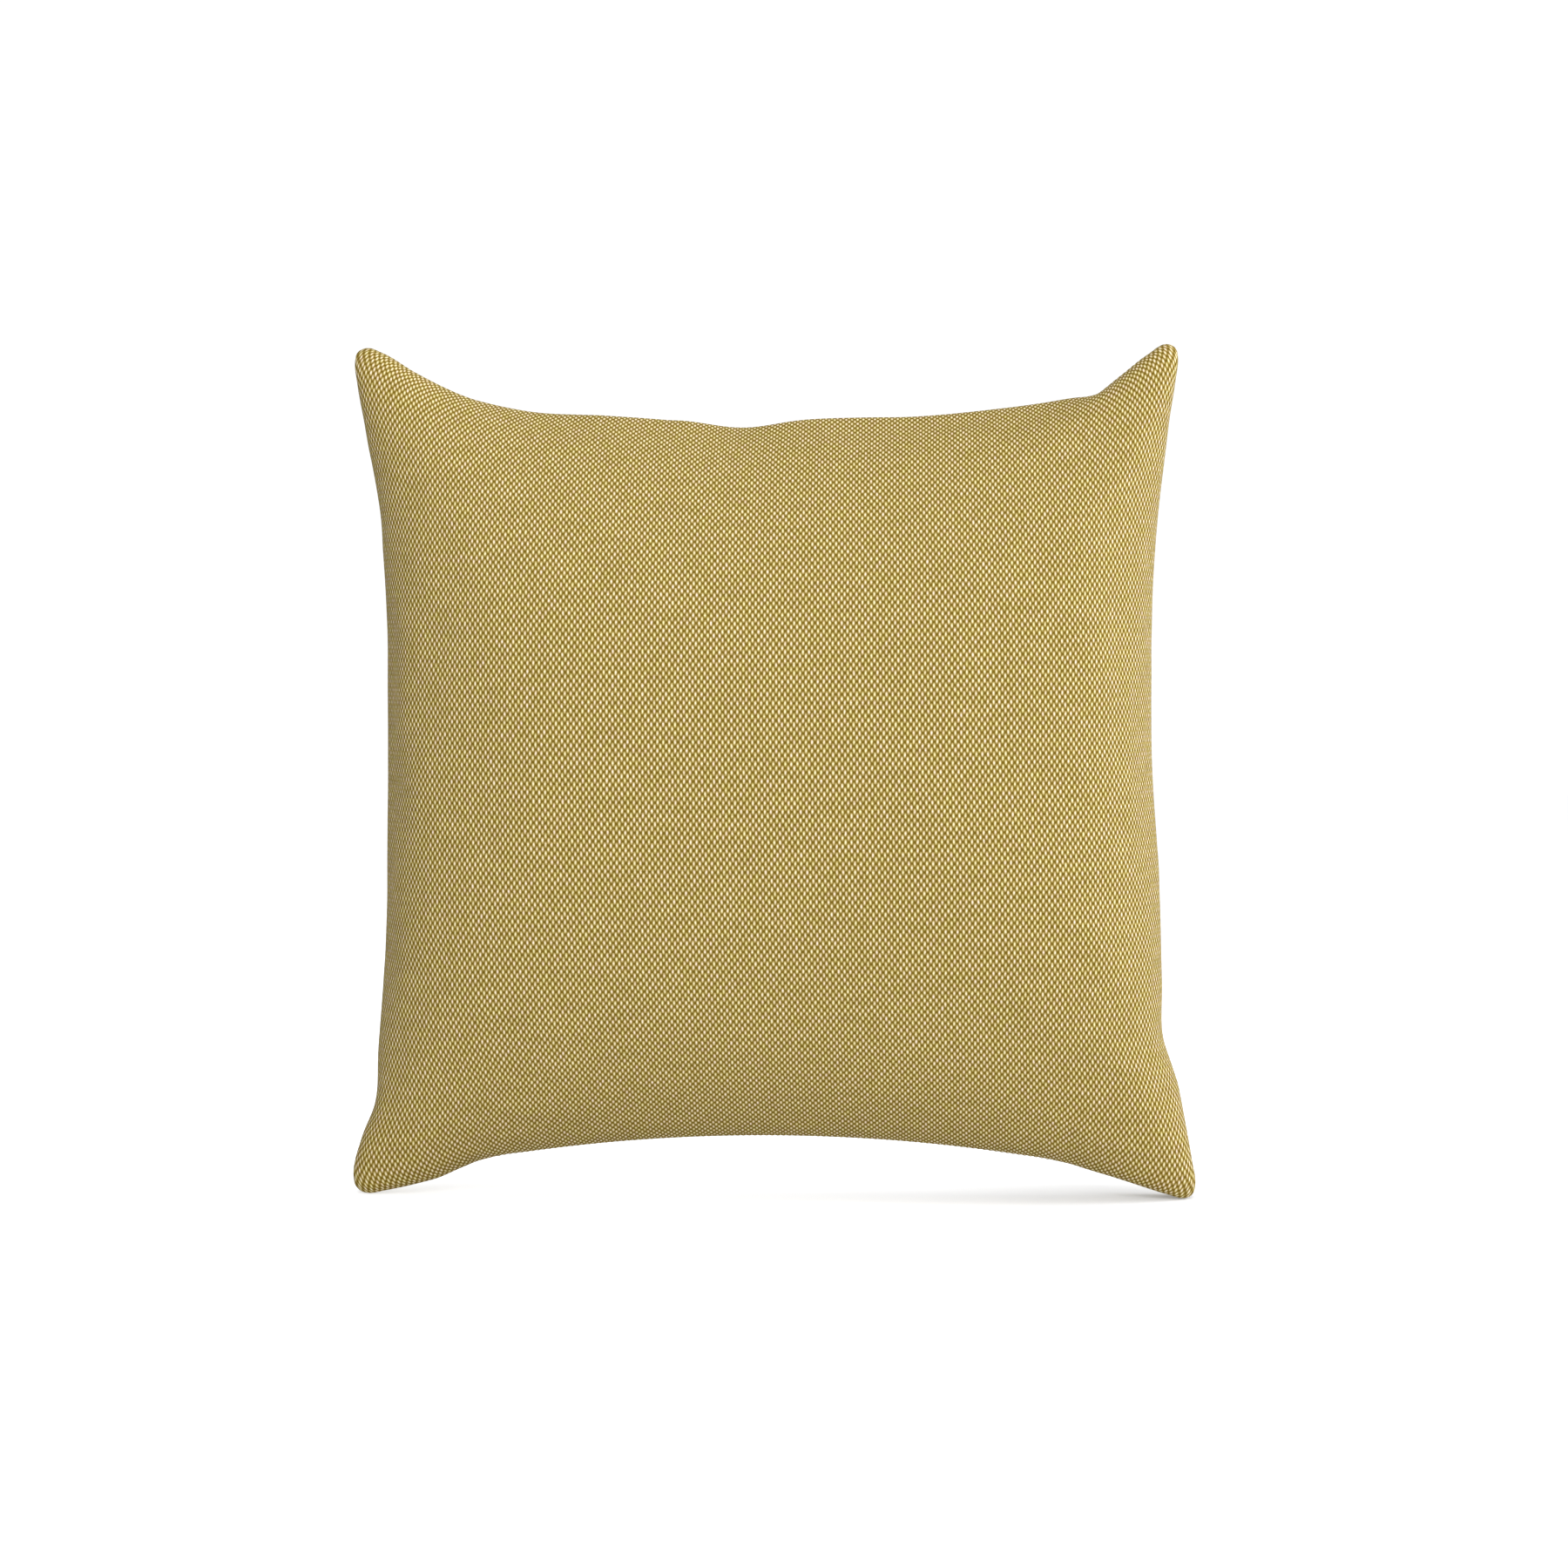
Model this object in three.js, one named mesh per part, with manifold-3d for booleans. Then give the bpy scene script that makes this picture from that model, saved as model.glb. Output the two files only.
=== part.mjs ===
// A plump square throw pillow standing on two corners of its knife edge.
// A woven cover of two panels is sewn round three sides and half way along the bottom,
// and closed there by a sunken coil zip; a separate filled insert lies inside it.
// Millimetres, +Z up, +X to the right, the front faces -Y. Both bottom tips rest on z = 0.
import * as THREE from 'three';
import Module from 'manifold-3d';

// ---- the pillow as a whole -------------------------------------------------
const HALF_WAIST = 198; // half the width and height between the middles of opposite sides
const CENTRE_Z = 220;
const HALF_THICKNESS = 78;
const FLAT_CROWN = 0.26; // the middle of each face is pressed flat over this share of its width
const CROWN_POWER = 2.6; // how far the face stays flat before it rounds off
const EDGE_POWER = 0.62; // how steeply it comes down to the seam
const EAR_POWER = 6; // how tightly the empty corners, the ears, are gathered
const PIECE_GAP = 0.3;
const SIDEWAYS = 1.94; // brings the outline, which is not quite even, over the middle
const STATIONS = [0, 0.13, 0.26, 0.39, 0.52, 0.6625, 0.727, 0.8, 0.87, 0.93, 0.97, 1];

// ---- the cover's cloth -----------------------------------------------------
const COVER_WALL = 1.4;
const SEAM_GROOVE = 1.3; // half the width of the groove where the two panels meet
const SEAM_DEPTH = 1.2;
const COVER_INNER_INSET = 1.9;
const ALLOWANCE_WIDTH = 9;
const ALLOWANCE_THICKNESS = 0.8;
const COVER_EAR = 0.03;
const THREAD_RADIUS = 0.35;
const THREAD_INSET = 0.05;
const THREAD_SIDES = 6;

// ---- the insert ------------------------------------------------------------
const INSERT_INSET = 15;
const INSERT_EAR = 0.05;
const INSERT_SLACK = 0.5; // between the cover's inside and the ticking at the crown
const TICKING_WALL = 0.8;
const TICKING_GROOVE = 0.9;
const TICKING_ALLOWANCE = 7;
const TICKING_ALLOWANCE_THICKNESS = 0.5;
const FILL_INSET = 24;
const INSERT_THREAD_RADIUS = 0.25;
const CLOSED_BY_HAND = 2; // stations each side of the middle that were sewn after filling

// ---- the zip, drawn along an arc in the bottom seam ------------------------
const ARC_RADIUS = 900;
const ARC_X = -2;
const ARC_TOP = 32;
const ZIP_HALF = 145; // half the tape's length
const LIPS_OPEN_TO = 146.5;
const LIPS_CLOSED_FROM = 160;
const LIP_OPENING = 3.9;
const HEM_DEPTH = 5.9;
const TAPE = { inner: 1.0, outer: 13, low: 6.3, high: 6.8 };
const COIL = { tip: 0.75, root: 1.5, back: 2.4, low: 4.3, high: 6.0, pitch: 5 };
const COIL_SPAN = { from: -131.5, to: 138 };
const ZIP_STITCH_Y = 8.5;
const STOP = { long: 2, inner: 0.5, outer: 2.3 };
const TOP_STOP_AT = 140;
const BOTTOM_STOP_AT = -133;

// ---- slider and pull: s runs along the zip, d into the pillow --------------
const SLIDER_REST = 133; // distance of the slider from the zip's middle when it is shut
const SLIDER = { half: 4.5, width: 3.35, face: 2.9, plate: 0.8, railInside: 2.75, railEnd: 5.9 };
const SLIDER_BACK = { low: 7.1, high: 7.9 };
const POST = { start: 2.6, end: 4.3, half: 0.4 };
const CROWN = { half: 3.1, leg: 0.6, width: 0.8, outside: 0.5, inside: 1.0, foot: 2.6 };
const PIVOT_DEPTH = 1.95;
const TAB = { thick: 0.9, front: 0.6, length: 19, half: 2.4, tail: 1.6 };
const TAB_EYE = { start: -4.2, end: -0.4, half: 1.3 };
const TAB_HOLE = { centre: -14, radius: 1.0 };

const LABEL = { left: -203.5, right: -195.5, low: 62, high: 98, near: 1.25, far: 1.6 };

const cloth = (colour, roughness) => ({ colour, roughness, metalness: 0 });
const COVER_CLOTH = cloth('#bda873', 0.95);
const THREAD = cloth('#a8915a', 0.8);
const TICKING = cloth('#f1eee6', 0.9);
const WADDING = cloth('#fafafa', 1);
const ZIP_WEAVE = cloth('#b39c66', 0.85);
const NYLON = cloth('#c2ac78', 0.45);
const SATIN = cloth('#f7f5ef', 0.6);
const METAL = { colour: '#b08a4a', roughness: 0.35, metalness: 1 };

const wasm = await Module();
wasm.setup();

// ---- outline ---------------------------------------------------------------
const smooth = (points) => {
  const curve = new THREE.SplineCurve(points.map(([x, z]) => new THREE.Vector2(x, z)));
  curve.arcLengthDivisions = 1000;
  return curve;
};

const onZipArc = (s, depth = 0) => {
  const turn = s / ARC_RADIUS;
  const radius = ARC_RADIUS + depth;
  return [ARC_X + radius * Math.sin(turn), ARC_TOP - ARC_RADIUS + radius * Math.cos(turn)];
};

const BOTTOM_LEFT = [-216, 0];
const BOTTOM_RIGHT = [213.5, 0];
const TOP_LEFT = [-217.5, 442];
const TOP_RIGHT = [206, 442.5];
const arcMarks = [-146, -110, -73, -37, 0, 37, 73, 110, 146].map((s) => onZipArc(s));

const EDGES = {
  bottom: smooth([
    BOTTOM_LEFT, [-206, 1], [-188, 5.5], [-167, 14], ...arcMarks, [165, 14.5], [186, 7], [204, 1.5],
    BOTTOM_RIGHT,
  ]),
  top: smooth([
    TOP_LEFT, [-208, 440], [-190, 429.5], [-167, 418.5], [-132, 409.5], [-45, 404.5], [-18, 401],
    [12, 405], [123, 411], [169, 418.5], [186, 431], [198, 440], TOP_RIGHT,
  ]),
  left: smooth([
    BOTTOM_LEFT, [-221, 12], [-217, 33], [-210.5, 52], [-205, 125], [-203.5, 230], [-205.5, 325],
    [-211, 373], [-218, 409], [-221, 431], TOP_LEFT,
  ]),
  right: smooth([
    BOTTOM_RIGHT, [217, 5], [215.5, 18], [211, 45], [201, 86], [200, 120], [195, 240], [195.5, 324],
    [199, 369], [204, 405], [208.5, 434], TOP_RIGHT,
  ]),
};

const LINES = [...STATIONS.slice(1).reverse().map((u) => -u), ...STATIONS];
const COUNT = LINES.length;
const LAST = COUNT - 1;
const MIDDLE = LAST / 2;

const alongEdge = (curve) => LINES.map((u) => curve.getPointAt((u + 1) / 2));
const edge = Object.fromEntries(Object.entries(EDGES).map(([name, c]) => [name, alongEdge(c)]));

// The cloth's plan is spread between its four edges, corner to corner.
const planPoint = (i, j) => {
  const u = (LINES[i] + 1) / 2;
  const v = (LINES[j] + 1) / 2;
  const blend = (axis) => {
    const across = (1 - v) * edge.bottom[i][axis] + v * edge.top[i][axis];
    const up = (1 - u) * edge.left[j][axis] + u * edge.right[j][axis];
    const low = (1 - u) * edge.bottom[0][axis] + u * edge.bottom[LAST][axis];
    const high = (1 - u) * edge.top[0][axis] + u * edge.top[LAST][axis];
    return across + up - (1 - v) * low - v * high;
  };
  return [blend('x'), blend('y')];
};

const crown = (u) => {
  const past = Math.max(0, (Math.abs(u) - FLAT_CROWN) / (1 - FLAT_CROWN));
  return (1 - past ** CROWN_POWER) ** EDGE_POWER;
};

const shrunk = (i, j, inset, ear) => {
  const [x, z] = planPoint(i, j);
  const gathered = ear * Math.abs(LINES[i] * LINES[j]) ** EAR_POWER;
  const scale = 1 - inset / HALF_WAIST - gathered;
  return [x * scale, CENTRE_Z + (z - CENTRE_Z) * scale];
};

// ---- rims: the loops of points where two panels meet -----------------------
const ring = [];
for (let i = 0; i < LAST; i += 1) ring.push([i, 0]);
for (let j = 0; j < LAST; j += 1) ring.push([LAST, j]);
for (let i = LAST; i > 0; i -= 1) ring.push([i, LAST]);
for (let j = LAST; j > 0; j -= 1) ring.push([0, j]);

const bottomLength = EDGES.bottom.getLength();
const alongZip = (i) => (LINES[i] * bottomLength) / 2;

// 1 where the zip holds the panels apart, 0 where they are sewn together.
const lipsOpen = (i, j) => {
  if (j !== 0) return 0;
  const past = (Math.abs(alongZip(i)) - LIPS_OPEN_TO) / (LIPS_CLOSED_FROM - LIPS_OPEN_TO);
  return 1 - THREE.MathUtils.smoothstep(past, 0, 1);
};

// The panels' opening fades away up the face as well as along the seam.
const parted = (i, j) => {
  const up = (LINES[j] + 1) / 2;
  return LIP_OPENING * lipsOpen(i, 0) * (1 - THREE.MathUtils.smoothstep(up, 0, 0.25));
};

const rimPoint = (i, j, inset, ear, open) => {
  const plain = shrunk(i, j, inset, ear);
  if (open === 0) return plain;
  const onArc = onZipArc(alongZip(i), inset);
  return plain.map((value, axis) => THREE.MathUtils.lerp(value, onArc[axis], open));
};

// ---- triangles -------------------------------------------------------------
const signedVolume = (points, faces) => {
  const [a, b, c] = [0, 1, 2].map(() => new THREE.Vector3());
  return faces.reduce((sum, [p, q, r]) => {
    a.fromArray(points[p]);
    b.fromArray(points[q]);
    c.fromArray(points[r]);
    return sum + a.dot(b.cross(c)) / 6;
  }, 0);
};

const closedBody = (points, faces) => {
  const outward = signedVolume(points, faces) > 0;
  const turned = outward ? faces : faces.map(([a, b, c]) => [a, c, b]);
  const geometry = new THREE.BufferGeometry();
  geometry.setAttribute('position', new THREE.Float32BufferAttribute(points.flat(), 3));
  geometry.setIndex(turned.flat());
  geometry.computeVertexNormals();
  return geometry;
};

const body = () => {
  const points = [];
  const faces = [];
  const add = (list) => list.map((point) => points.push(point) - 1);
  const quad = (a, b, c, d) => faces.push([a, b, c], [a, c, d]);
  return { points, faces, add, quad, close: () => closedBody(points, faces) };
};

const gridOf = (shell, position) => {
  const row = (i) => shell.add(LINES.map((_, j) => position(i, j)));
  return LINES.map((_, i) => row(i));
};

const fillGrid = (shell, grid, flip) => {
  for (let i = 0; i < LAST; i += 1) {
    for (let j = 0; j < LAST; j += 1) {
      const [a, b, c, d] = [grid[i][j], grid[i + 1][j], grid[i + 1][j + 1], grid[i][j + 1]];
      if (flip) shell.quad(a, d, c, b);
      else shell.quad(a, b, c, d);
    }
  }
};

const joinLoops = (shell, first, second) => {
  first.forEach((_, k) => {
    const next = (k + 1) % first.length;
    shell.quad(first[next], first[k], second[k], second[next]);
  });
};

// ---- a sewn panel: face, groove, turned-in allowance, inside ---------------
const facePoint = (side, layer) => (i, j) => {
  const [x, z] = shrunk(i, j, layer.inset, layer.ear);
  const base = PIECE_GAP / 2 + layer.base;
  const opened = layer.zipped ? parted(i, j) : 0;
  const rise = (layer.height - base) * crown(LINES[i]) * crown(LINES[j]);
  const narrowed = opened * (1 - rise / HALF_THICKNESS);
  return [x, side * (base + narrowed + rise), z];
};

const sewnPanel = (side, layer) => {
  const shell = body();
  const inside = { ...layer, inset: layer.innerInset, ear: layer.innerEar };
  inside.base = layer.allowance.thick;
  inside.height = layer.height - layer.wall;
  const faceGrid = gridOf(shell, facePoint(side, layer));
  const innerGrid = gridOf(shell, facePoint(side, inside));
  const loop = (inset, ear, depth) =>
    shell.add(
      ring.map(([i, j]) => {
        const open = layer.zipped ? lipsOpen(i, j) : 0;
        const [x, z] = rimPoint(i, j, inset(open), ear, open);
        return [x, side * (PIECE_GAP / 2 + LIP_OPENING * open + depth), z];
      }),
    );
  const allowance = (open) =>
    layer.inset + THREE.MathUtils.lerp(layer.allowance.width, HEM_DEPTH, open);
  const faceRim = ring.map(([i, j]) => faceGrid[i][j]);
  const innerRim = ring.map(([i, j]) => innerGrid[i][j]);
  const fold = loop(() => layer.inset + layer.fold, layer.ear, 0);
  const tip = loop(allowance, layer.innerEar, 0);
  const tipInside = loop(allowance, layer.innerEar, layer.allowance.thick);
  fillGrid(shell, faceGrid, false);
  [faceRim, fold, tip, tipInside].forEach((from, k) => {
    joinLoops(shell, from, [fold, tip, tipInside, innerRim][k]);
  });
  fillGrid(shell, innerGrid, true);
  return shell.close();
};

const COVER = {
  inset: 0,
  innerInset: COVER_INNER_INSET,
  ear: 0,
  innerEar: COVER_EAR,
  base: SEAM_GROOVE,
  fold: SEAM_DEPTH,
  height: HALF_THICKNESS,
  wall: COVER_WALL,
  allowance: { width: ALLOWANCE_WIDTH, thick: ALLOWANCE_THICKNESS },
  zipped: true,
};
const INSERT_HEIGHT = HALF_THICKNESS - COVER_WALL - INSERT_SLACK;
const INSERT = {
  inset: INSERT_INSET,
  innerInset: INSERT_INSET + COVER_INNER_INSET,
  ear: INSERT_EAR,
  innerEar: INSERT_EAR,
  base: TICKING_GROOVE,
  fold: TICKING_GROOVE,
  height: INSERT_HEIGHT,
  wall: TICKING_WALL,
  allowance: { width: TICKING_ALLOWANCE, thick: TICKING_ALLOWANCE_THICKNESS },
  zipped: false,
};

const wadding = () => {
  const solid = body();
  const height = INSERT_HEIGHT - TICKING_WALL - PIECE_GAP;
  const position = (side) => (i, j) => {
    const [x, z] = shrunk(i, j, FILL_INSET, INSERT_EAR);
    return [x, side * height * crown(LINES[i]) * crown(LINES[j]), z];
  };
  fillGrid(solid, gridOf(solid, position(-1)), false);
  fillGrid(solid, gridOf(solid, position(1)), true);
  return solid.close();
};

// ---- long thin pieces: a section carried through a row of places -----------
const sweep = (sections) => {
  const solid = body();
  const rings = sections.map((section) => solid.add(section));
  rings.slice(1).forEach((next, k) => joinLoops(solid, rings[k], next));
  const cap = (loop, order) => {
    for (let k = 1; k < loop.length - 1; k += 1) {
      const triangle = [loop[0], loop[k], loop[k + 1]];
      solid.faces.push(order ? triangle : triangle.reverse());
    }
  };
  cap(rings[0], true);
  cap(rings.at(-1), false);
  return solid.close();
};

const roundSection = (centre, radius, outwards) =>
  Array.from({ length: THREAD_SIDES }, (_, k) => {
    const turn = (k * 2 * Math.PI) / THREAD_SIDES;
    const out = radius * Math.cos(turn);
    return [
      centre[0] + out * outwards[0],
      centre[1] + radius * Math.sin(turn),
      centre[2] + out * outwards[1],
    ];
  });

const seamThread = (places, inset, ear, radius) => {
  const centres = places.map(([i, j]) => shrunk(i, j, inset, ear));
  const sections = centres.map(([x, z], k) => {
    const before = centres[Math.max(0, k - 1)];
    const after = centres[Math.min(centres.length - 1, k + 1)];
    const along = new THREE.Vector2(after[0] - before[0], after[1] - before[1]).normalize();
    return roundSection([x, 0, z], radius, [-along.y, along.x]);
  });
  return sweep(sections);
};

const coverThread = (places) => seamThread(places, THREAD_INSET, 0, THREAD_RADIUS);
const between = (from, to) => LINES.map((_, k) => k).filter((k) => k >= from && k <= to);
const sewnOnlyFrom = LINES.findIndex((_, i) => Math.abs(alongZip(i)) < LIPS_CLOSED_FROM) - 1;

const insertThread = (places) => {
  const inset = INSERT_INSET + INSERT_THREAD_RADIUS;
  return seamThread(places, inset, INSERT_EAR, INSERT_THREAD_RADIUS);
};
const openFrom = MIDDLE - CLOSED_BY_HAND;
const openTo = MIDDLE + CLOSED_BY_HAND;
const insertSeam = [...ring.slice(openTo), ...ring.slice(0, openFrom + 1)];
const handSewn = between(openFrom + 1, openTo - 1).map((i) => [i, 0]);

// ---- zip -------------------------------------------------------------------
const zipPoint = (s, y, depth) => {
  const [x, z] = onZipArc(s, depth);
  return [x, y, z];
};

const boxSection = (s, side, inner, outer, low, high) => [
  zipPoint(s, side * inner, low),
  zipPoint(s, side * outer, low),
  zipPoint(s, side * outer, high),
  zipPoint(s, side * inner, high),
];

const evenly = (from, to, steps) =>
  Array.from({ length: steps + 1 }, (_, k) => from + ((to - from) * k) / steps);

const zipTape = (side) =>
  sweep(
    evenly(-ZIP_HALF, ZIP_HALF, 12).map((s) =>
      boxSection(s, side, TAPE.inner, TAPE.outer, TAPE.low, TAPE.high),
    ),
  );

// The coil's loops are drawn as a zigzag edge; the two sides' loops lie turn about.
const zipCoil = (side) => {
  const steps = Math.round((2 * (COIL_SPAN.to - COIL_SPAN.from)) / COIL.pitch);
  return sweep(
    evenly(COIL_SPAN.from, COIL_SPAN.to, steps).map((s, k) => {
      const atLoop = (k % 2 === 0) === (side > 0);
      return boxSection(s, side, atLoop ? COIL.tip : COIL.root, COIL.back, COIL.low, COIL.high);
    }),
  );
};

const zipStitch = (side) => {
  const places = between(0, LAST).filter((i) => Math.abs(alongZip(i)) < LIPS_OPEN_TO);
  const face = facePoint(side, COVER);
  return sweep(
    places.map((i) => {
      const rim = new THREE.Vector3(...face(i, 0));
      const next = new THREE.Vector3(...face(i, 1));
      const share = (side * ZIP_STITCH_Y - rim.y) / (next.y - rim.y);
      const slope = next.clone().sub(rim).normalize();
      const off = new THREE.Vector3(0, side * slope.z, -Math.abs(slope.y)).normalize();
      const lift = THREAD_RADIUS + PIECE_GAP;
      const centre = rim.clone().lerp(next, share).addScaledVector(off, lift);
      const [a, b] = onZipArc(alongZip(i), 1).map((v, axis) => v - onZipArc(alongZip(i))[axis]);
      return roundSection(centre.toArray(), THREAD_RADIUS, [a, b]);
    }),
  );
};

const zipFrame = (s) => {
  const [x, z] = onZipArc(s);
  const turn = s / ARC_RADIUS;
  return new THREE.Matrix4().makeRotationY(turn).setPosition(x, 0, z);
};

// ---- metal pieces ----------------------------------------------------------
const block = (s0, s1, y0, y1, d0, d1) => {
  const box = new THREE.BoxGeometry(s1 - s0, y1 - y0, d1 - d0);
  return box.translate((s0 + s1) / 2, (y0 + y1) / 2, (d0 + d1) / 2);
};

const weldedIndex = (geometry) => {
  const position = geometry.getAttribute('position');
  const known = new Map();
  const vertices = [];
  const place = (k) => {
    const point = [position.getX(k), position.getY(k), position.getZ(k)];
    const key = point.map((value) => value.toFixed(4)).join();
    if (!known.has(key)) {
      known.set(key, vertices.length / 3);
      vertices.push(...point);
    }
    return known.get(key);
  };
  const order = geometry.index ? [...geometry.index.array] : [...position.array.keys()];
  const triangles = geometry.index ? order.map(place) : order.slice(0, position.count).map(place);
  return { vertices: new Float32Array(vertices), triangles: new Uint32Array(triangles) };
};

const toSolid = (geometry) => {
  const { vertices, triangles } = weldedIndex(geometry);
  return new wasm.Manifold(new wasm.Mesh({ numProp: 3, vertProperties: vertices, triVerts: triangles }));
};

const united = (geometries) => {
  const whole = geometries.map(toSolid).reduce((sum, next) => sum.add(next));
  const mesh = whole.getMesh();
  const geometry = new THREE.BufferGeometry();
  geometry.setAttribute('position', new THREE.Float32BufferAttribute(mesh.vertProperties, 3));
  geometry.setIndex([...mesh.triVerts]);
  geometry.computeVertexNormals();
  return geometry;
};

const sliderBody = () => {
  const { half, width, face, plate, railInside, railEnd } = SLIDER;
  const overlap = 0.1;
  const rail = (side) => {
    const [from, to] = [side * railInside, side * width].sort((a, b) => a - b);
    return block(-half, half, from, to, face + plate - overlap, railEnd);
  };
  return united([
    block(-half, half, -width, width, face, face + plate),
    block(-half, half, -width, width, SLIDER_BACK.low, SLIDER_BACK.high),
    block(POST.start, POST.end, -POST.half, POST.half, face + overlap, SLIDER_BACK.low + overlap),
    rail(-1),
    rail(1),
  ]);
};

const sliderBridge = () => {
  const { half, leg, width, outside, inside, foot } = CROWN;
  return united([
    block(-half, half, -width, width, outside, inside),
    block(-half, leg - half, -width, width, outside, foot),
    block(half - leg, half, -width, width, outside, foot),
  ]);
};

const pullTab = () => {
  const outline = new THREE.Shape();
  const neck = TAB.front - TAB.length + TAB.tail;
  outline.moveTo(TAB.front, -TAB.half);
  outline.lineTo(TAB.front, TAB.half);
  outline.lineTo(neck, TAB.half);
  outline.absellipse(neck, 0, TAB.tail, TAB.half, Math.PI / 2, (3 * Math.PI) / 2, false);
  const eye = new THREE.Path();
  eye.moveTo(TAB_EYE.start, -TAB_EYE.half);
  eye.lineTo(TAB_EYE.start, TAB_EYE.half);
  eye.lineTo(TAB_EYE.end, TAB_EYE.half);
  eye.lineTo(TAB_EYE.end, -TAB_EYE.half);
  const hole = new THREE.Path().absarc(TAB_HOLE.centre, 0, TAB_HOLE.radius, 0, 2 * Math.PI, true);
  outline.holes.push(eye, hole);
  const plate = new THREE.ExtrudeGeometry(outline, {
    depth: TAB.thick,
    bevelEnabled: false,
    curveSegments: 8,
  });
  return plate.translate(0, 0, PIVOT_DEPTH - TAB.thick / 2);
};

const stopBlock = (sideFrom, sideTo) =>
  block(-STOP.long / 2, STOP.long / 2, sideFrom, sideTo, COIL.low, COIL.high);

// ---- the assembly ----------------------------------------------------------
const pillow = new THREE.Group();
pillow.name = 'throw_pillow';

const piece = (name, geometry, { colour, roughness, metalness }, place) => {
  const material = new THREE.MeshStandardMaterial({ color: colour, roughness, metalness });
  const placed = place ? geometry.applyMatrix4(place) : geometry;
  const mesh = new THREE.Mesh(placed.translate(SIDEWAYS, 0, 0), material);
  mesh.name = name;
  pillow.add(mesh);
};

piece('cover_front_panel', sewnPanel(-1, COVER), COVER_CLOTH);
piece('cover_back_panel', sewnPanel(1, COVER), COVER_CLOTH);
piece('top_seam_thread', coverThread(between(1, LAST - 1).map((i) => [i, LAST])), THREAD);
piece('left_seam_thread', coverThread(between(1, LAST - 1).map((j) => [0, j])), THREAD);
piece('right_seam_thread', coverThread(between(1, LAST - 1).map((j) => [LAST, j])), THREAD);
piece('bottom_seam_thread_left', coverThread(between(1, sewnOnlyFrom).map((i) => [i, 0])), THREAD);
piece(
  'bottom_seam_thread_right',
  coverThread(between(LAST - sewnOnlyFrom, LAST - 1).map((i) => [i, 0])),
  THREAD,
);

piece('zip_stitch_front', zipStitch(-1), THREAD);
piece('zip_stitch_back', zipStitch(1), THREAD);
piece('zip_tape_front', zipTape(-1), ZIP_WEAVE);
piece('zip_tape_back', zipTape(1), ZIP_WEAVE);
piece('zip_coil_front', zipCoil(-1), NYLON);
piece('zip_coil_back', zipCoil(1), NYLON);
piece('zip_top_stop_front', stopBlock(-STOP.outer, -STOP.inner), METAL, zipFrame(TOP_STOP_AT));
piece('zip_top_stop_back', stopBlock(STOP.inner, STOP.outer), METAL, zipFrame(TOP_STOP_AT));
piece('zip_bottom_stop', stopBlock(-STOP.outer, STOP.outer), METAL, zipFrame(BOTTOM_STOP_AT));
piece('zip_slider_body', sliderBody(), METAL, zipFrame(SLIDER_REST));
piece('zip_slider_bridge', sliderBridge(), METAL, zipFrame(SLIDER_REST));
piece('zip_pull_tab', pullTab(), METAL, zipFrame(SLIDER_REST));

piece('insert_front_ticking', sewnPanel(-1, INSERT), TICKING);
piece('insert_back_ticking', sewnPanel(1, INSERT), TICKING);
piece('insert_seam_thread', insertThread(insertSeam), THREAD);
piece('insert_closing_stitch', insertThread(handSewn), THREAD);
piece('insert_fill', wadding(), WADDING);

const label = new THREE.BoxGeometry(
  LABEL.right - LABEL.left,
  LABEL.far - LABEL.near,
  LABEL.high - LABEL.low,
);
label.translate(
  (LABEL.left + LABEL.right) / 2,
  -(LABEL.near + LABEL.far) / 2,
  (LABEL.low + LABEL.high) / 2,
);
piece('care_label', label, SATIN);

export default pillow;
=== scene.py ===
# A plump square throw pillow in a coarse mustard and cream plain weave, standing on two corners.
# Shapes are worked out in millimetres and made in the shared frame's metres: +Z up, +X right, and
# the front faces -Y.
import math

import bmesh
import bpy
import numpy as np
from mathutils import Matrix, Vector


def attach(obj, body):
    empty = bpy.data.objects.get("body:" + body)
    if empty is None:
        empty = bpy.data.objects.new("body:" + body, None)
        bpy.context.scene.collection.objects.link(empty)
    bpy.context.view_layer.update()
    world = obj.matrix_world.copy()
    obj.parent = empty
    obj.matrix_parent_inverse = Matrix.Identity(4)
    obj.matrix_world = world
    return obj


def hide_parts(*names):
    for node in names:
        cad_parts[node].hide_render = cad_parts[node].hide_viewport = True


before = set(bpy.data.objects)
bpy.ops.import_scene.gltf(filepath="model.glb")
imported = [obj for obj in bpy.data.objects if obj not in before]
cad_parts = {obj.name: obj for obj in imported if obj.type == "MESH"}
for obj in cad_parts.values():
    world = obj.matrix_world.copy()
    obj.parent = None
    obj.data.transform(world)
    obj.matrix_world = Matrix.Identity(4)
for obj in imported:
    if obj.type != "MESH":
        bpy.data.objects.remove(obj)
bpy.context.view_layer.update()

MM = 0.001

# ---- sizes, in millimetres ----
CLOTH_SIDE = 457.0  # the flat cover, seam to seam
HALF_WAIST = 198.0
CENTRE_Z = 220.0
HALF_THICKNESS = 78.0
# How a face falls to its seams: the power of the share of the way out, and of what that leaves.
SIDE_FALL = 5.0, 0.6
TOP_FALL = 2.6, 0.78
ZIP_FALL = 3.2, 1.15
LIP_FALL = 20, 0.5  # the lips above the zip roll over quickly, by this share of the thickness
LIP_SHARE = 0.16
EAR_POWER = 6
EAR_PLUMP = 0.5
EAR_PLUMP_POWER = 4
SIDEWAYS = 1.94  # brings the slightly uneven outline over the middle
PIECE_GAP = 0.3

COVER_WALL = 1.3
SEAM_GROOVE = 1.3
SEAM_DEPTH = 1.2
COVER_INNER_INSET = 1.9
ALLOWANCE_WIDTH = 9.0
ALLOWANCE_THICKNESS = 0.8
COVER_EAR = 0.03

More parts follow.
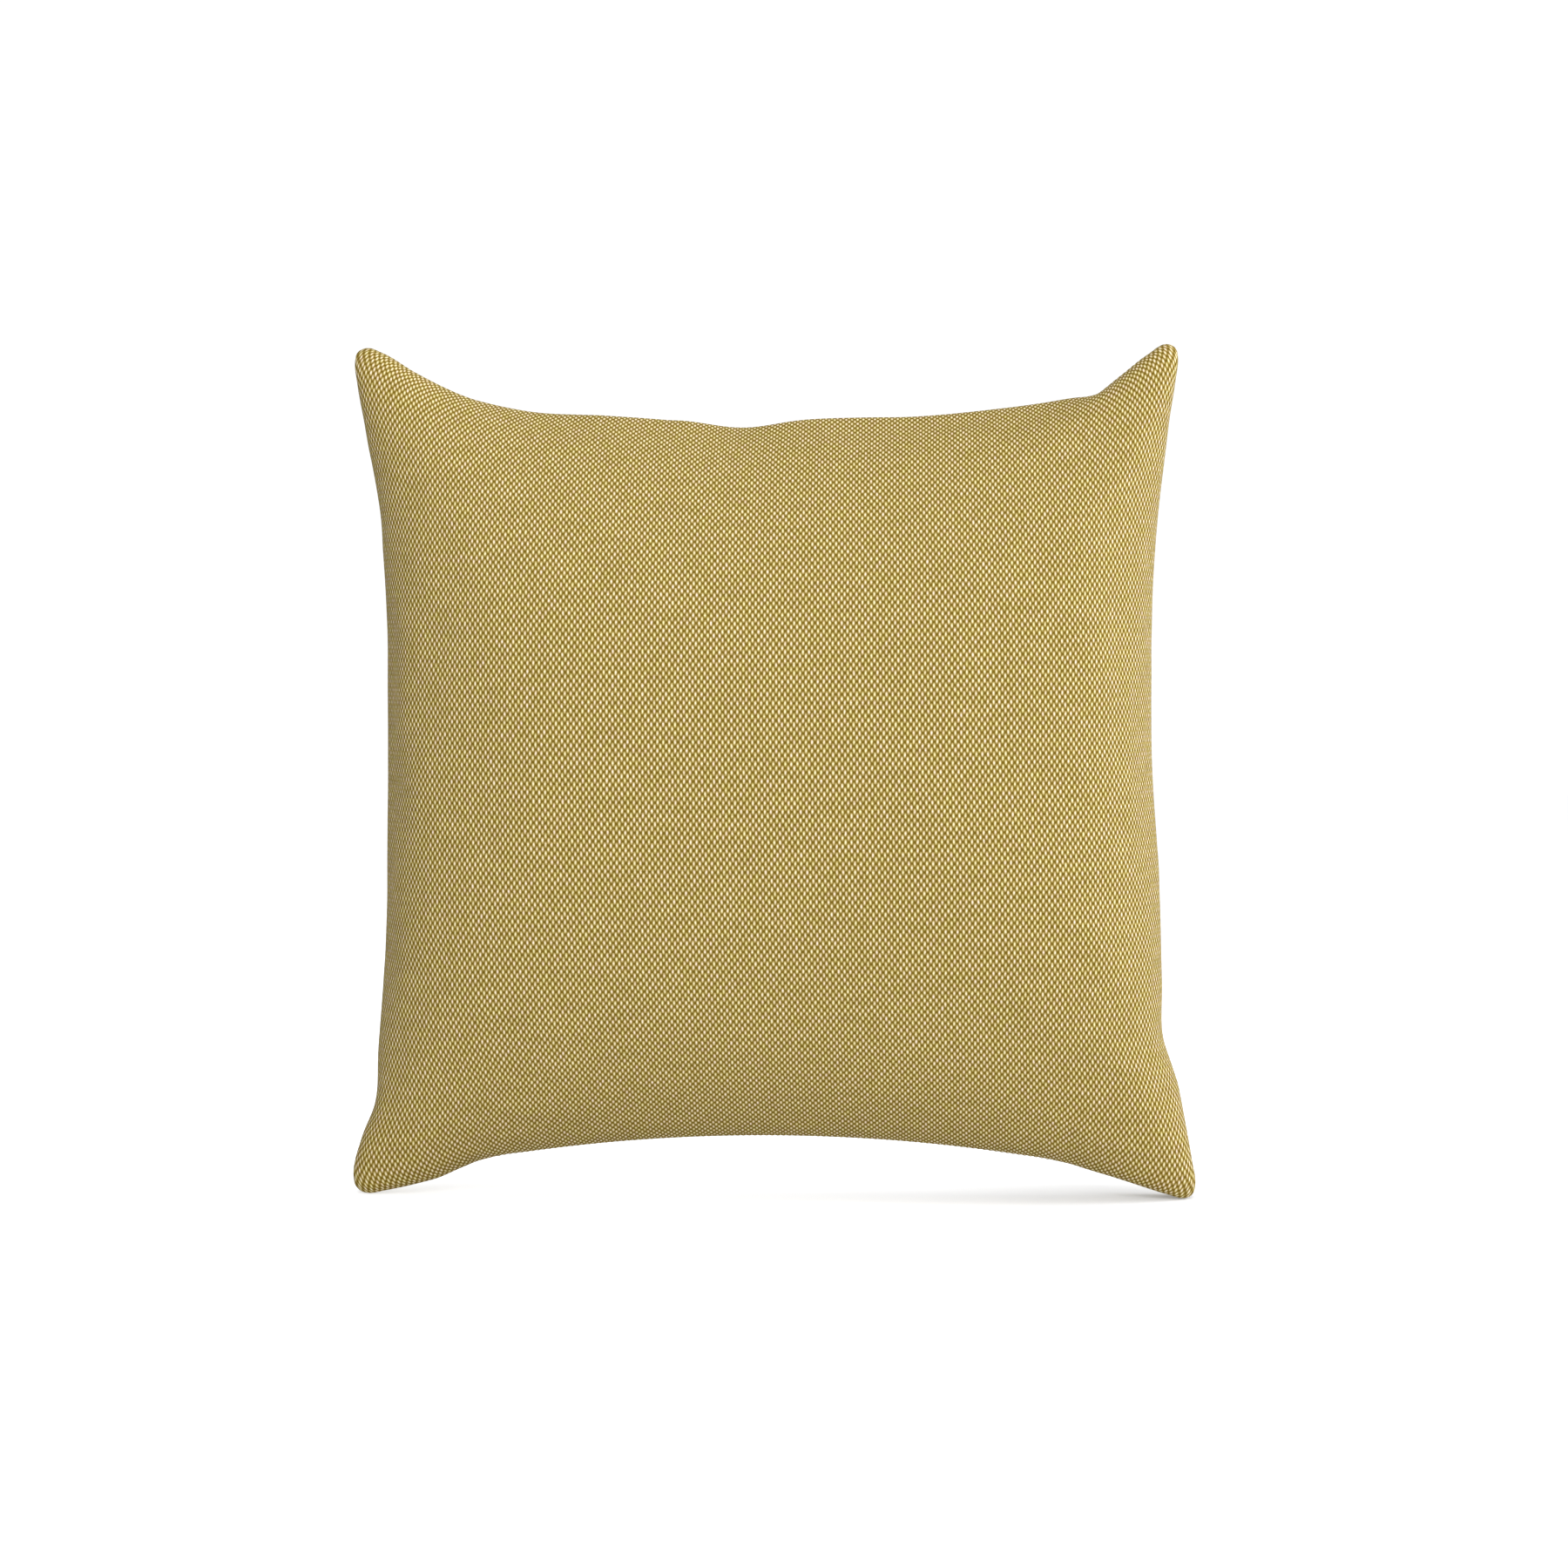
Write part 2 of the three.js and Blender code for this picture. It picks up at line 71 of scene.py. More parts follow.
INSERT_INSET = 15.0
INSERT_STITCH_INSET = 0.25
INSERT_STITCH_RADIUS = 0.22
MACHINE_STITCH = 2.6, 2.0  # pitch and length
HAND_STITCH = 5.0, 4.2
INSERT_EAR = 0.05
INSERT_SLACK = 0.5
TICKING_WALL = 0.8
TICKING_GROOVE = 0.9
TICKING_ALLOWANCE = 7.0
TICKING_ALLOWANCE_THICKNESS = 0.5
FILL_INSET = 24.0
LUMP_DEPTH = 5.0
LUMP_SMOOTHING = 6
CLOSED_BY_HAND = 0.26  # half the share of the insert's bottom seam that was sewn after filling

ARC_RADIUS = 900.0
ARC_X = SIDEWAYS - 2.0
ARC_TOP = 32.0
ARC_MARKS_TO = 146.0
ZIP_HALF = 145.0
LIPS_OPEN_TO = 146.5
LIPS_CLOSED_FROM = 160.0
LIP_OPENING = 3.9
HEM_DEPTH = 5.9
LIPS_FADE = 0.25  # share of the face over which the panels close up again above the zip

STITCH_PITCH = 3.0
STITCH_LENGTH = 2.3
STITCH_RADIUS = 0.33
SEAM_STITCH_INSET = 0.5

# ---- the weave ----
MARKS_APART = 50.0  # keeps the front's and the back's unevenness from being the same
PAST_SEAM = 0.01  # share by which each loop inside the seam is marked as further out
SPOT_ACROSS = 2.93  # from one cream float to the next along a row
SPOT_DOWN = 4.5

# ---- the outline as sewn and filled ----
# Each corner ends in a round tip: its centre, its radius, and the angle of its outermost point.
BOTTOM_LEFT_TIP = ((-212.6, 8.5), 8.5, 225)
BOTTOM_RIGHT_TIP = ((214.2, 6.5), 6.5, 315)
TOP_LEFT_TIP = ((-212.4, 437.6), 6.2, 135)
TOP_RIGHT_TIP = ((204.4, 438.7), 5.6, 45)
TIP_STEP = 22.5  # degrees between the bends that round a tip
# Between the tips, each edge bends through these places.
LEFT_BENDS = [(-217, 30), (-209.5, 47.5), (-207, 77), (-203.5, 123), (-202, 191),
              (-201.5, 269), (-203, 325), (-208, 373), (-213.5, 402), (-217.5, 424)]
RIGHT_BENDS = [(219.2, 19), (214.5, 44.5), (209, 67), (203.4, 85), (202.6, 112),
               (200.5, 170.5), (197.2, 215.5), (196.3, 260.5), (197.2, 323.5), (200.5, 368.5),
               (205.7, 404.5), (209, 425)]
TOP_BENDS = [(-205, 441.5), (-188.5, 431.5), (-165.5, 420.2), (-131, 411), (-85, 408.3),
             (-43.5, 405.3), (-16, 402), (14, 406), (75, 407.8), (125, 412), (157, 416.2),
             (166, 417.4), (169.5, 418.7), (173, 421.5), (183, 429.8), (195, 439.2)]
BOTTOM_BENDS_LEFT = [(-204, 1.2), (-186, 4.8), (-177, 7.2), (-165, 12.5)]
BOTTOM_BENDS_RIGHT = [(165, 14.0), (179, 10), (206, 1.8)]

rng = np.random.default_rng(7)


# ---- curves ----
CURVE_STEPS = 3000


def on_arc(s, depth=0.0):
    """The point s along the zip's arc from its middle, and depth into the pillow."""
    turn = np.asarray(s) / ARC_RADIUS
    radius = ARC_RADIUS + depth
    centre_z = ARC_TOP - ARC_RADIUS
    return np.stack([ARC_X + radius * np.sin(turn), centre_z + radius * np.cos(turn)], -1)


def hermite(points):
    """A smooth curve through the points, as many close steps."""
    p = np.array(points, float)
    knots = np.concatenate([[0], np.cumsum(np.linalg.norm(np.diff(p, axis=0), axis=1))])
    slopes = np.gradient(p, knots, axis=0)
    t = np.linspace(0, knots[-1], CURVE_STEPS)
    i = np.clip(np.searchsorted(knots, t, side="right") - 1, 0, len(knots) - 2)
    span = (knots[i + 1] - knots[i])[:, None]
    f = (t - knots[i])[:, None] / span
    start = (2 * f**3 - 3 * f**2 + 1) * p[i] + (f**3 - 2 * f**2 + f) * span * slopes[i]
    end = (3 * f**2 - 2 * f**3) * p[i + 1] + (f**3 - f**2) * span * slopes[i + 1]
    return start + end


class Edge:
    """One side of the outline, read by the share of its length from its first corner."""

    def __init__(self, points):
        self.curve = hermite(points)
        steps = np.linalg.norm(np.diff(self.curve, axis=0), axis=1)
        self.along = np.concatenate([[0], np.cumsum(steps)])
        self.length = self.along[-1]

    def at(self, share):
        d = np.asarray(share) * self.length
        return np.stack([np.interp(d, self.along, self.curve[:, k]) for k in (0, 1)], -1)


def round_tip(tip, turns):
    """Bends round a tip, so many steps of the angle away from its outermost point."""
    centre, radius, outermost = tip
    angles = np.radians(outermost + TIP_STEP * np.asarray(turns))
    return [(centre[0] + radius * math.cos(t), centre[1] + radius * math.sin(t)) for t in angles]


ARC_MARKS = [tuple(on_arc(s)) for s in np.linspace(-ARC_MARKS_TO, ARC_MARKS_TO, 17)]
BOTTOM = Edge(round_tip(BOTTOM_LEFT_TIP, [0, 1, 2]) + BOTTOM_BENDS_LEFT + ARC_MARKS
              + BOTTOM_BENDS_RIGHT + round_tip(BOTTOM_RIGHT_TIP, [-2, -1, 0]))
TOP = Edge(round_tip(TOP_LEFT_TIP, [0, -1, -2]) + TOP_BENDS + round_tip(TOP_RIGHT_TIP, [2, 1, 0]))
LEFT = Edge(round_tip(BOTTOM_LEFT_TIP, [0, -1, -2]) + LEFT_BENDS
            + round_tip(TOP_LEFT_TIP, [2, 1, 0]))
RIGHT = Edge(round_tip(BOTTOM_RIGHT_TIP, [0, 1, 2]) + RIGHT_BENDS
             + round_tip(TOP_RIGHT_TIP, [-2, -1, 0]))
ARC_MIDDLE = BOTTOM.along[np.argmin(abs(BOTTOM.curve[:, 0] - ARC_X))]


# ---- the filled shape ----
EASE_CELLS = 128


def resample(field, knots, wanted):
    """Cubic reading of a grid field along its first axis."""
    step = knots[1] - knots[0]
    x = (wanted - knots[0]) / step
    i = np.clip(np.floor(x).astype(int), 0, len(knots) - 2)
    f = (x - i).reshape(-1, *[1] * (field.ndim - 1))
    padded = np.concatenate([2 * field[:1] - field[1:2], field, 2 * field[-1:] - field[-2:-1]])
    a, b, c, d = (padded[i + k] for k in range(4))
    return b + 0.5 * f * (c - a + f * (2 * a - 5 * b + 4 * c - d + f * (3 * (b - c) + d - a)))


def on_fine_grid(field, knots, u, v):
    rows = resample(field, knots, u)
    return resample(rows.swapaxes(0, 1), knots, v).swapaxes(0, 1)


def between_edges(u, v):
    """The outline's inside spread evenly between its four edges."""
    a, b = (u + 1) / 2, (v + 1) / 2
    low, high = BOTTOM.at(a)[:, None], TOP.at(a)[:, None]
    left, right = LEFT.at(b)[None], RIGHT.at(b)[None]
    a, b = a[:, None, None], b[None, :, None]
    across = (1 - b) * low + b * high
    up = (1 - a) * left + a * right
    corners = (
        (1 - a) * (1 - b) * BOTTOM.curve[0]
        + a * (1 - b) * BOTTOM.curve[-1]
        + (1 - a) * b * TOP.curve[0]
        + a * b * TOP.curve[-1]
    )
    return across + up - corners


def easing():
    """What must be added so that a bend in an edge dies away quickly towards the middle.

    The sum is harmonic: each place is the mean of its neighbours. It is solved by sine waves.
    """
    t = np.linspace(-1, 1, EASE_CELLS + 1)
    grid = between_edges(t, t)
    bend = (grid[2:, 1:-1] + grid[:-2, 1:-1] + grid[1:-1, 2:] + grid[1:-1, :-2]
            - 4 * grid[1:-1, 1:-1])
    k = np.arange(1, EASE_CELLS)
    waves = np.sin(math.pi * np.outer(k, k) / EASE_CELLS) * math.sqrt(2 / EASE_CELLS)
    stiffness = 2 - 2 * np.cos(math.pi * k / EASE_CELLS)
    stiffness = (stiffness[:, None] + stiffness[None])[..., None]
    turned = np.einsum("ai,ijc,jb->abc", waves, bend, waves) / stiffness
    eased = np.zeros_like(grid)
    eased[1:-1, 1:-1] = np.einsum("ai,ijc,jb->abc", waves, turned, waves)
    return t, eased


EASE_KNOTS, EASE = easing()


def plan(u, v):
    """The pillow seen from the front: where each share of the cloth, -1 to 1 both ways, lies."""
    return between_edges(u, v) + on_fine_grid(EASE, EASE_KNOTS, u, v)


def fall(share, shape):
    outward, edge = shape
    return (1 - np.abs(share) ** outward) ** edge


def fullness(u, v):
    """The share of the pillow's half thickness at each place; the ears stay plump to their tips."""
    above_zip = LIP_SHARE * fall(v, LIP_FALL) + (1 - LIP_SHARE) * fall(v, ZIP_FALL)
    up = np.where(v < 0, above_zip, fall(v, TOP_FALL))
    flat = fall(u, SIDE_FALL)[:, None] * up[None, :]
    corner = np.abs(u[:, None] * v[None, :]) ** EAR_PLUMP_POWER
    return flat ** (1 - EAR_PLUMP * corner)


def shrunk(u, v, inset, ear):
    """The plan drawn in by inset at the waist, and by a further share, ear, in the corners."""
    flat = plan(u, v)
    scale = 1 - inset / HALF_WAIST - ear * np.abs(u[:, None] * v[None, :]) ** EAR_POWER
    middle = np.array([0.0, CENTRE_Z])
    return middle + (flat - middle) * scale[..., None]


def smoothstep(x):
    x = np.clip(x, 0, 1)
    return x * x * (3 - 2 * x)


def along_zip(u):
    return (u + 1) / 2 * BOTTOM.length - ARC_MIDDLE


def lips_open(u):
    """1 where the zip holds the panels apart, 0 where they are sewn together."""
    past = (np.abs(along_zip(u)) - LIPS_OPEN_TO) / (LIPS_CLOSED_FROM - LIPS_OPEN_TO)
    return 1 - smoothstep(past)


def face(side, u, v, layer, drift=None):
    """The places of one face of a layer: side is -1 for the front and 1 for the back."""
    flat = shrunk(u, v, layer["inset"], layer["ear"])
    base = PIECE_GAP / 2 + layer["base"]
    rise = (layer["height"] - base) * fullness(u, v)
    opened = 0.0
    if layer["zipped"]:
        fade = 1 - smoothstep((v + 1) / 2 / LIPS_FADE)
        opened = LIP_OPENING * lips_open(u)[:, None] * fade[None, :] * (1 - rise / HALF_THICKNESS)
    depth = side * (base + opened + rise)
    places = np.stack([flat[..., 0], depth, flat[..., 1]], -1)
    return places if drift is None else places + drift


# ---- cloth simulation: how the filled cover settles between its seams ----
SETTLE_CELLS = 60
SETTLE_FRAMES = 25
SETTLE_PRESSURE = 6.0
SETTLE_CAP = 6.0  # millimetres that the cloth may move from the drawn shape
SETTLE_SMOOTHING = 3
SEAM_HOLD = 0.5
CLOTH_QUALITY = 6
CLOTH_POINT_MASS = 0.02
CLOTH_STRETCH_STIFFNESS = 15
CLOTH_SHEAR_STIFFNESS = 5
CLOTH_BENDING_STIFFNESS = 0.5
CLOTH_BENDING_DAMPING = 2
CLOTH_DAMPING = 10
FLAT_SHEETS_APART = 0.5  # millimetres from the rim's plane, so that the two flat sheets stay two


def settle_mesh(u, layer):
    """Front and back as one closed sack with a shared rim, and the flat cloth it was cut from."""
    n = len(u)
    rim = np.zeros((n, n), bool)
    rim[[0, -1], :] = rim[:, [0, -1]] = True
    filled = [face(side, u, u, layer) for side in (-1, 1)]
    filled[0][rim, 1] = 0
    shares = np.stack(np.broadcast_arrays(u[:, None], 0 * u[:, None], u[None, :]), -1)
    flat = shares * CLOTH_SIDE / 2
    index = np.arange(n * n).reshape(n, n)
    back = index.copy()
    back[~rim] = n * n + np.arange((~rim).sum())
    sheets = [flat.copy(), flat.copy()]
    for sheet, side in zip(sheets, (-1, 1)):
        sheet[~rim, 1] += side * FLAT_SHEETS_APART
    places = np.concatenate([filled[0].reshape(-1, 3), filled[1][~rim]]) * MM
    cut = np.concatenate([sheets[0].reshape(-1, 3), sheets[1][~rim]]) * MM
    quads = []
    for ids, turned in ((index, False), (back, True)):
        cells = grid_cells(ids)
        quads.append(cells[:, ::-1] if turned else cells)
    return places, cut, np.concatenate(quads), index, back, rim


def hold_seam(sack, rim, index):
    """The seam holds the cloth at its rim, and the gathered corners hold it fast."""
    group = sack.vertex_groups.new(name="held")
    last = len(index) - 1
    for i, j in zip(*np.nonzero(rim)):
        at_corner = min(i, last - i) + min(j, last - j) <= 1
        group.add([int(index[i, j])], 1.0 if at_corner else SEAM_HOLD, "REPLACE")
    return group.name


def smooth_field(field, passes):
    for _ in range(passes):
        inner = field.copy()
        inner[1:-1, 1:-1] = (
            4 * field[1:-1, 1:-1]
            + field[2:, 1:-1] + field[:-2, 1:-1] + field[1:-1, 2:] + field[1:-1, :-2]
        ) / 8
        field = inner
    return field


def settle(layer):
    """The movement of the front and the back when the filling presses the cloth out."""
    u = np.linspace(-1, 1, SETTLE_CELLS + 1)
    places, cut, quads, index, back, rim = settle_mesh(u, layer)
    mesh = bpy.data.meshes.new("sack")
    mesh.from_pydata(places.tolist(), [], quads.tolist())
    sack = bpy.data.objects.new("sack", mesh)
    scene = bpy.context.scene
    scene.collection.objects.link(sack)
    sack.shape_key_add(name="filled")
    flat_key = sack.shape_key_add(name="flat")
    flat_key.data.foreach_set("co", cut.astype(np.float32).ravel())
    cloth = sack.modifiers.new("settle", "CLOTH")
    settings = cloth.settings
    settings.rest_shape_key = flat_key
    settings.quality = CLOTH_QUALITY
    settings.mass = CLOTH_POINT_MASS
    settings.tension_stiffness = settings.compression_stiffness = CLOTH_STRETCH_STIFFNESS
    settings.shear_stiffness = CLOTH_SHEAR_STIFFNESS
    settings.bending_model = "ANGULAR"
    settings.bending_stiffness = CLOTH_BENDING_STIFFNESS
    settings.bending_damping = CLOTH_BENDING_DAMPING
    settings.tension_damping = settings.compression_damping = CLOTH_DAMPING
    settings.shear_damping = CLOTH_DAMPING
    settings.use_pressure = True
    settings.uniform_pressure_force = SETTLE_PRESSURE
    settings.vertex_group_mass = hold_seam(sack, rim, index)
    settings.effector_weights.gravity = 0
    cloth.collision_settings.use_collision = False
    cloth.point_cache.frame_start, cloth.point_cache.frame_end = 1, SETTLE_FRAMES
    for step in range(1, SETTLE_FRAMES + 1):
        scene.frame_set(step)
    shape = sack.evaluated_get(bpy.context.evaluated_depsgraph_get()).data
    now = np.empty(len(places) * 3, np.float32)
    shape.vertices.foreach_get("co", now)
    scene.frame_set(1)
    bpy.data.objects.remove(sack)
    moved = (now.reshape(-1, 3) - places) / MM
    length = np.linalg.norm(moved, axis=1, keepdims=True)
    moved *= np.minimum(1, SETTLE_CAP / np.maximum(length, 1e-6))
    front, behind = (smooth_field(moved[ids], SETTLE_SMOOTHING) for ids in (index, back))
    return u, front, behind


# ---- meshes ----
def mesh_object(name, places, quads, smooth=True):
    mesh = bpy.data.meshes.new(name)
    mesh.from_pydata((np.asarray(places) * MM).tolist(), [], [list(map(int, q)) for q in quads])
    mesh.validate()
    tidy = bmesh.new()
    tidy.from_mesh(mesh)
    loose = [vert for vert in tidy.verts if not vert.link_faces]
    bmesh.ops.delete(tidy, geom=loose, context="VERTS")
    bmesh.ops.recalc_face_normals(tidy, faces=tidy.faces)
    tidy.to_mesh(mesh)
    tidy.free()
    mesh.polygons.foreach_set("use_smooth", [smooth] * len(mesh.polygons))
    obj = bpy.data.objects.new(name, mesh)
    bpy.context.scene.collection.objects.link(obj)
    return obj


def grid_cells(ids):
    return np.stack([ids[:-1, :-1], ids[1:, :-1], ids[1:, 1:], ids[:-1, 1:]], -1).reshape(-1, 4)


def rim_ids(n):
    """The places round a grid's rim, in order from its first corner."""
    run = range(n - 1)
    return (
        [(i, 0) for i in run]
        + [(n - 1, j) for j in run]
        + [(n - 1 - i, n - 1) for i in run]
        + [(0, n - 1 - j) for j in run]
    )


def band(first, second):
    return np.stack([first, np.roll(first, -1), np.roll(second, -1), second], -1)


def rim_loop(side, u, v, layer, inset, hem, depth, ear):
    """A loop inside the seam: inset from it, or hem from it along the zip."""
    flat = shrunk(u, v, layer["inset"] + inset, ear)
    depth_grid = np.full(flat.shape[:2], PIECE_GAP / 2 + depth)
    if layer["zipped"]:
        opened = lips_open(u)
        mixed = inset + (hem - inset) * opened
        drawn = np.stack([shrunk(u[k:k + 1], v[:1], m, ear)[0, 0] for k, m in enumerate(mixed)])
        by_arc = on_arc(along_zip(u), mixed)
        flat[:, 0] = drawn + (by_arc - drawn) * opened[:, None]
        depth_grid[:, 0] += LIP_OPENING * opened
    grid = np.stack([flat[..., 0], side * depth_grid, flat[..., 1]], -1)
    return np.array([grid[i, j] for i, j in rim_ids(len(u))])


def cloth_shares(places, u):
    """Each point's place on the flat cloth, from -1 to 1 both ways, by distance along the face."""
    def read(grid, share):
        """Even in the middle, where the yarns lie straight, and fitted to the seams at the rim."""
        steps = np.linalg.norm(np.diff(grid, axis=0), axis=2)
        run = np.concatenate([np.zeros((1, grid.shape[1])), np.cumsum(steps, 0)])
        even = 2 * (run - run[len(run) // 2]) / run[-1].mean()
        fitted = 2 * run / run[-1:] - 1
        return even + (fitted - even) * (share ** 2)[:, None]
    return np.stack([read(places, u), read(places.swapaxes(0, 1), u).T], -1)


def sewn_panel(name, side, u, layer, drift):
    """A face, the fold into the seam, the allowance and the inside, as one closed body."""
    n = len(u)
    outer = face(side, u, u, layer, drift)
    inner_layer = dict(layer, inset=layer["inset"] + COVER_INNER_INSET, ear=layer["inner_ear"],
                       base=layer["allowance_thickness"], height=layer["height"] - layer["wall"])
    inner = face(side, u, u, inner_layer, drift)
    deep = layer["allowance"], HEM_DEPTH
    loops = [
        rim_loop(side, u, u, layer, layer["fold"], layer["fold"], 0, layer["ear"]),
        rim_loop(side, u, u, layer, *deep, 0, layer["inner_ear"]),
        rim_loop(side, u, u, layer, *deep, layer["allowance_thickness"], layer["inner_ear"]),
    ]
    rim = rim_ids(n)
    outer_ids = np.arange(n * n).reshape(n, n)
    inner_ids = outer_ids + n * n
    start = 2 * n * n
    loop_ids = [start + k * len(rim) + np.arange(len(rim)) for k in range(3)]
    outer_rim = np.array([outer_ids[i, j] for i, j in rim])
    inner_rim = np.array([inner_ids[i, j] for i, j in rim])
    rows = [outer_rim, *loop_ids, inner_rim]
    quads = [grid_cells(outer_ids), grid_cells(inner_ids)[:, ::-1]]
    quads += [band(rows[k + 1], rows[k]) for k in range(4)]
    places = np.concatenate([outer.reshape(-1, 3), inner.reshape(-1, 3), *loops])
    obj = mesh_object(name, places, np.concatenate(quads))
    shares = cloth_shares(outer, u)
    at_rim = np.array([shares[i, j] for i, j in rim])
    by_point = [shares.reshape(-1, 2)] * 2
    by_point += [at_rim * (1 + PAST_SEAM * k) for k in range(3)]
    put_cloth_marks(obj, np.concatenate(by_point) * CLOTH_SIDE / 2, side)
    lay_out_for_baking(obj, n)
    return obj


def put_cloth_marks(obj, flat, side):
    """Keeps, on every point, where it lies on the flat cloth in millimetres."""
    marks = obj.data.attributes.new("cloth", "FLOAT_VECTOR", "POINT")
    third = np.full((len(flat), 1), MARKS_APART * side)
    marks.data.foreach_set("vector", np.hstack([flat, third]).astype(np.float32).ravel())


# Shares of the baked picture.
BAKE_WIDE = 0.88  # the outer face
BAKE_GAP = 0.006
BAKE_INNER_HIGH = 0.6
BAKE_STRIP_LOW, BAKE_STRIP_LONG, BAKE_STRIP_STEP = 0.63, 0.36, 0.015


def lay_out_for_baking(obj, n):
    """A layout that gives nearly all of the picture to the outer face, so the weave stays sharp."""
    mesh = obj.data
    beside = BAKE_WIDE + 3 * BAKE_GAP
    step = np.linspace(0, 1, n)
    grid = np.stack(np.meshgrid(step, step, indexing="ij"), -1).reshape(-1, 2)
    outer = BAKE_GAP + grid * [BAKE_WIDE, 1 - 2 * BAKE_GAP]
    inner = [beside, BAKE_GAP] + grid * [1 - BAKE_WIDE - 4 * BAKE_GAP, BAKE_INNER_HIGH]
    around = BAKE_STRIP_LOW + BAKE_STRIP_LONG * np.linspace(0, 1, 4 * (n - 1))
    strips = [
        np.stack([np.full_like(around, beside + BAKE_STRIP_STEP * k), around], -1)
        for k in range(3)
    ]
    spots = np.concatenate([outer, inner, *strips])
    corner = np.empty(len(mesh.loops), int)
    mesh.loops.foreach_get("vertex_index", corner)
    layer = mesh.uv_layers.new(name="OFBake")
    layer.data.foreach_set("uv", spots[corner].astype(np.float32).ravel())


LINES_GATHER = 0.8
CORD_SIDES = 6


def spaced(count):
    """Grid lines from -1 to 1 that crowd towards both ends."""
    t = np.linspace(-1, 1, count)
    return t * (1 - LINES_GATHER) + LINES_GATHER * np.sin(t * math.pi / 2)


def ringed(rings):
    """The places, sides and end caps of a closed body through equal rings, in order."""
    ids = np.arange(rings.shape[0] * rings.shape[1]).reshape(rings.shape[:2])
    quads = [band(a, b) for a, b in zip(ids[:-1], ids[1:])]
    return rings.reshape(-1, 3), np.concatenate(quads), [ids[0][::-1], ids[-1]]


def tube_along(points, radius):
    """A round cord through the points, with closed ends."""
    points = np.asarray(points, float)
    ahead = np.gradient(points, axis=0)
    ahead /= np.linalg.norm(ahead, axis=1, keepdims=True)
    up = np.array([0.0, 1.0, 0.0])
    across = np.cross(ahead, up)
    across /= np.maximum(np.linalg.norm(across, axis=1, keepdims=True), 1e-9)
    other = np.cross(across, ahead)
    turn = np.linspace(0, 2 * math.pi, CORD_SIDES, endpoint=False)
    radius = np.broadcast_to(radius, len(points))[:, None, None]
    rings = points[:, None] + radius * (
        np.cos(turn)[None, :, None] * across[:, None] + np.sin(turn)[None, :, None] * other[:, None]
    )
    return ringed(rings)


def joined(name, parts):
    """Several (places, quads, caps) as one object."""
    places, faces, offset = [], [], 0
    for points, quads, caps in parts:
        places.append(points)
        faces += [[int(k) + offset for k in q] for q in quads]
        faces += [[int(k) + offset for k in cap] for cap in caps]
        offset += len(points)
    return mesh_object(name, np.concatenate(places), faces)


# ---- materials ----
def material(name):
    made = bpy.data.materials.new(name)
    made.use_nodes = True
    return made, made.node_tree, made.node_tree.nodes["Principled BSDF"]


def link(tree, source, target):
    tree.links.new(source, target)


def feed(tree, value, socket):
    """Links another node's output to the socket, or sets it to a constant."""
    if hasattr(value, "links"):
        link(tree, value, socket)
    else:
        socket.default_value = value


def maths(tree, kind, *values):
    node = tree.nodes.new("ShaderNodeMath")
    node.operation = kind
    for socket, value in zip(node.inputs, values):
        feed(tree, value, socket)
    return node.outputs[0]


def blend_colour(tree, kind, factor, a, b):
    node = tree.nodes.new("ShaderNodeMix")
    node.data_type = "RGBA"
    node.blend_type = kind
    for socket, value in ((node.inputs[0], factor), (node.inputs[6], a), (node.inputs[7], b)):
        feed(tree, value, socket)
    return node.outputs[2]


def mapped(tree, value, start, end, low=0.0, high=1.0, kind="LINEAR"):
    """How far the value has come from start to end, as a number from low to high."""
    node = tree.nodes.new("ShaderNodeMapRange")
    node.interpolation_type = kind
    for socket, given in zip(node.inputs, (value, start, end, low, high)):
        feed(tree, given, socket)
    return node.outputs["Result"]


def noise(tree, vector, scale, detail, output="Fac"):
    node = tree.nodes.new("ShaderNodeTexNoise")
    node.inputs["Scale"].default_value = scale
    node.inputs["Detail"].default_value = detail
    link(tree, vector, node.inputs["Vector"])
    return node.outputs[output]


def ramp(tree, factor, stops):
    node = tree.nodes.new("ShaderNodeValToRGB")
    elements = node.color_ramp.elements
    while len(elements) < len(stops):
        elements.new(0.5)
    for element, (position, colour) in zip(elements, stops):
        element.position = position
        element.color = (*colour, 1)
    link(tree, factor, node.inputs[0])
    return node.outputs[0]


def vector_maths(tree, kind, *values):
    node = tree.nodes.new("ShaderNodeVectorMath")
    node.operation = kind
    for socket, value in zip(node.inputs, values):
        feed(tree, value, socket)
    return node.outputs["Vector"]


def bump(tree, shader, height, distance, strength):
    node = tree.nodes.new("ShaderNodeBump")
    node.inputs["Distance"].default_value = distance
    node.inputs["Strength"].default_value = strength
    link(tree, height, node.inputs["Height"])
    link(tree, node.outputs[0], shader.inputs["Normal"])


def set_cloth_sheen(shader, roughness, sheen, specular=0.2):
    shader.inputs["Roughness"].default_value = roughness
    shader.inputs["Specular IOR Level"].default_value = specular
    shader.inputs["Sheen Weight"].default_value = sheen
    shader.inputs["Sheen Roughness"].default_value = 0.5


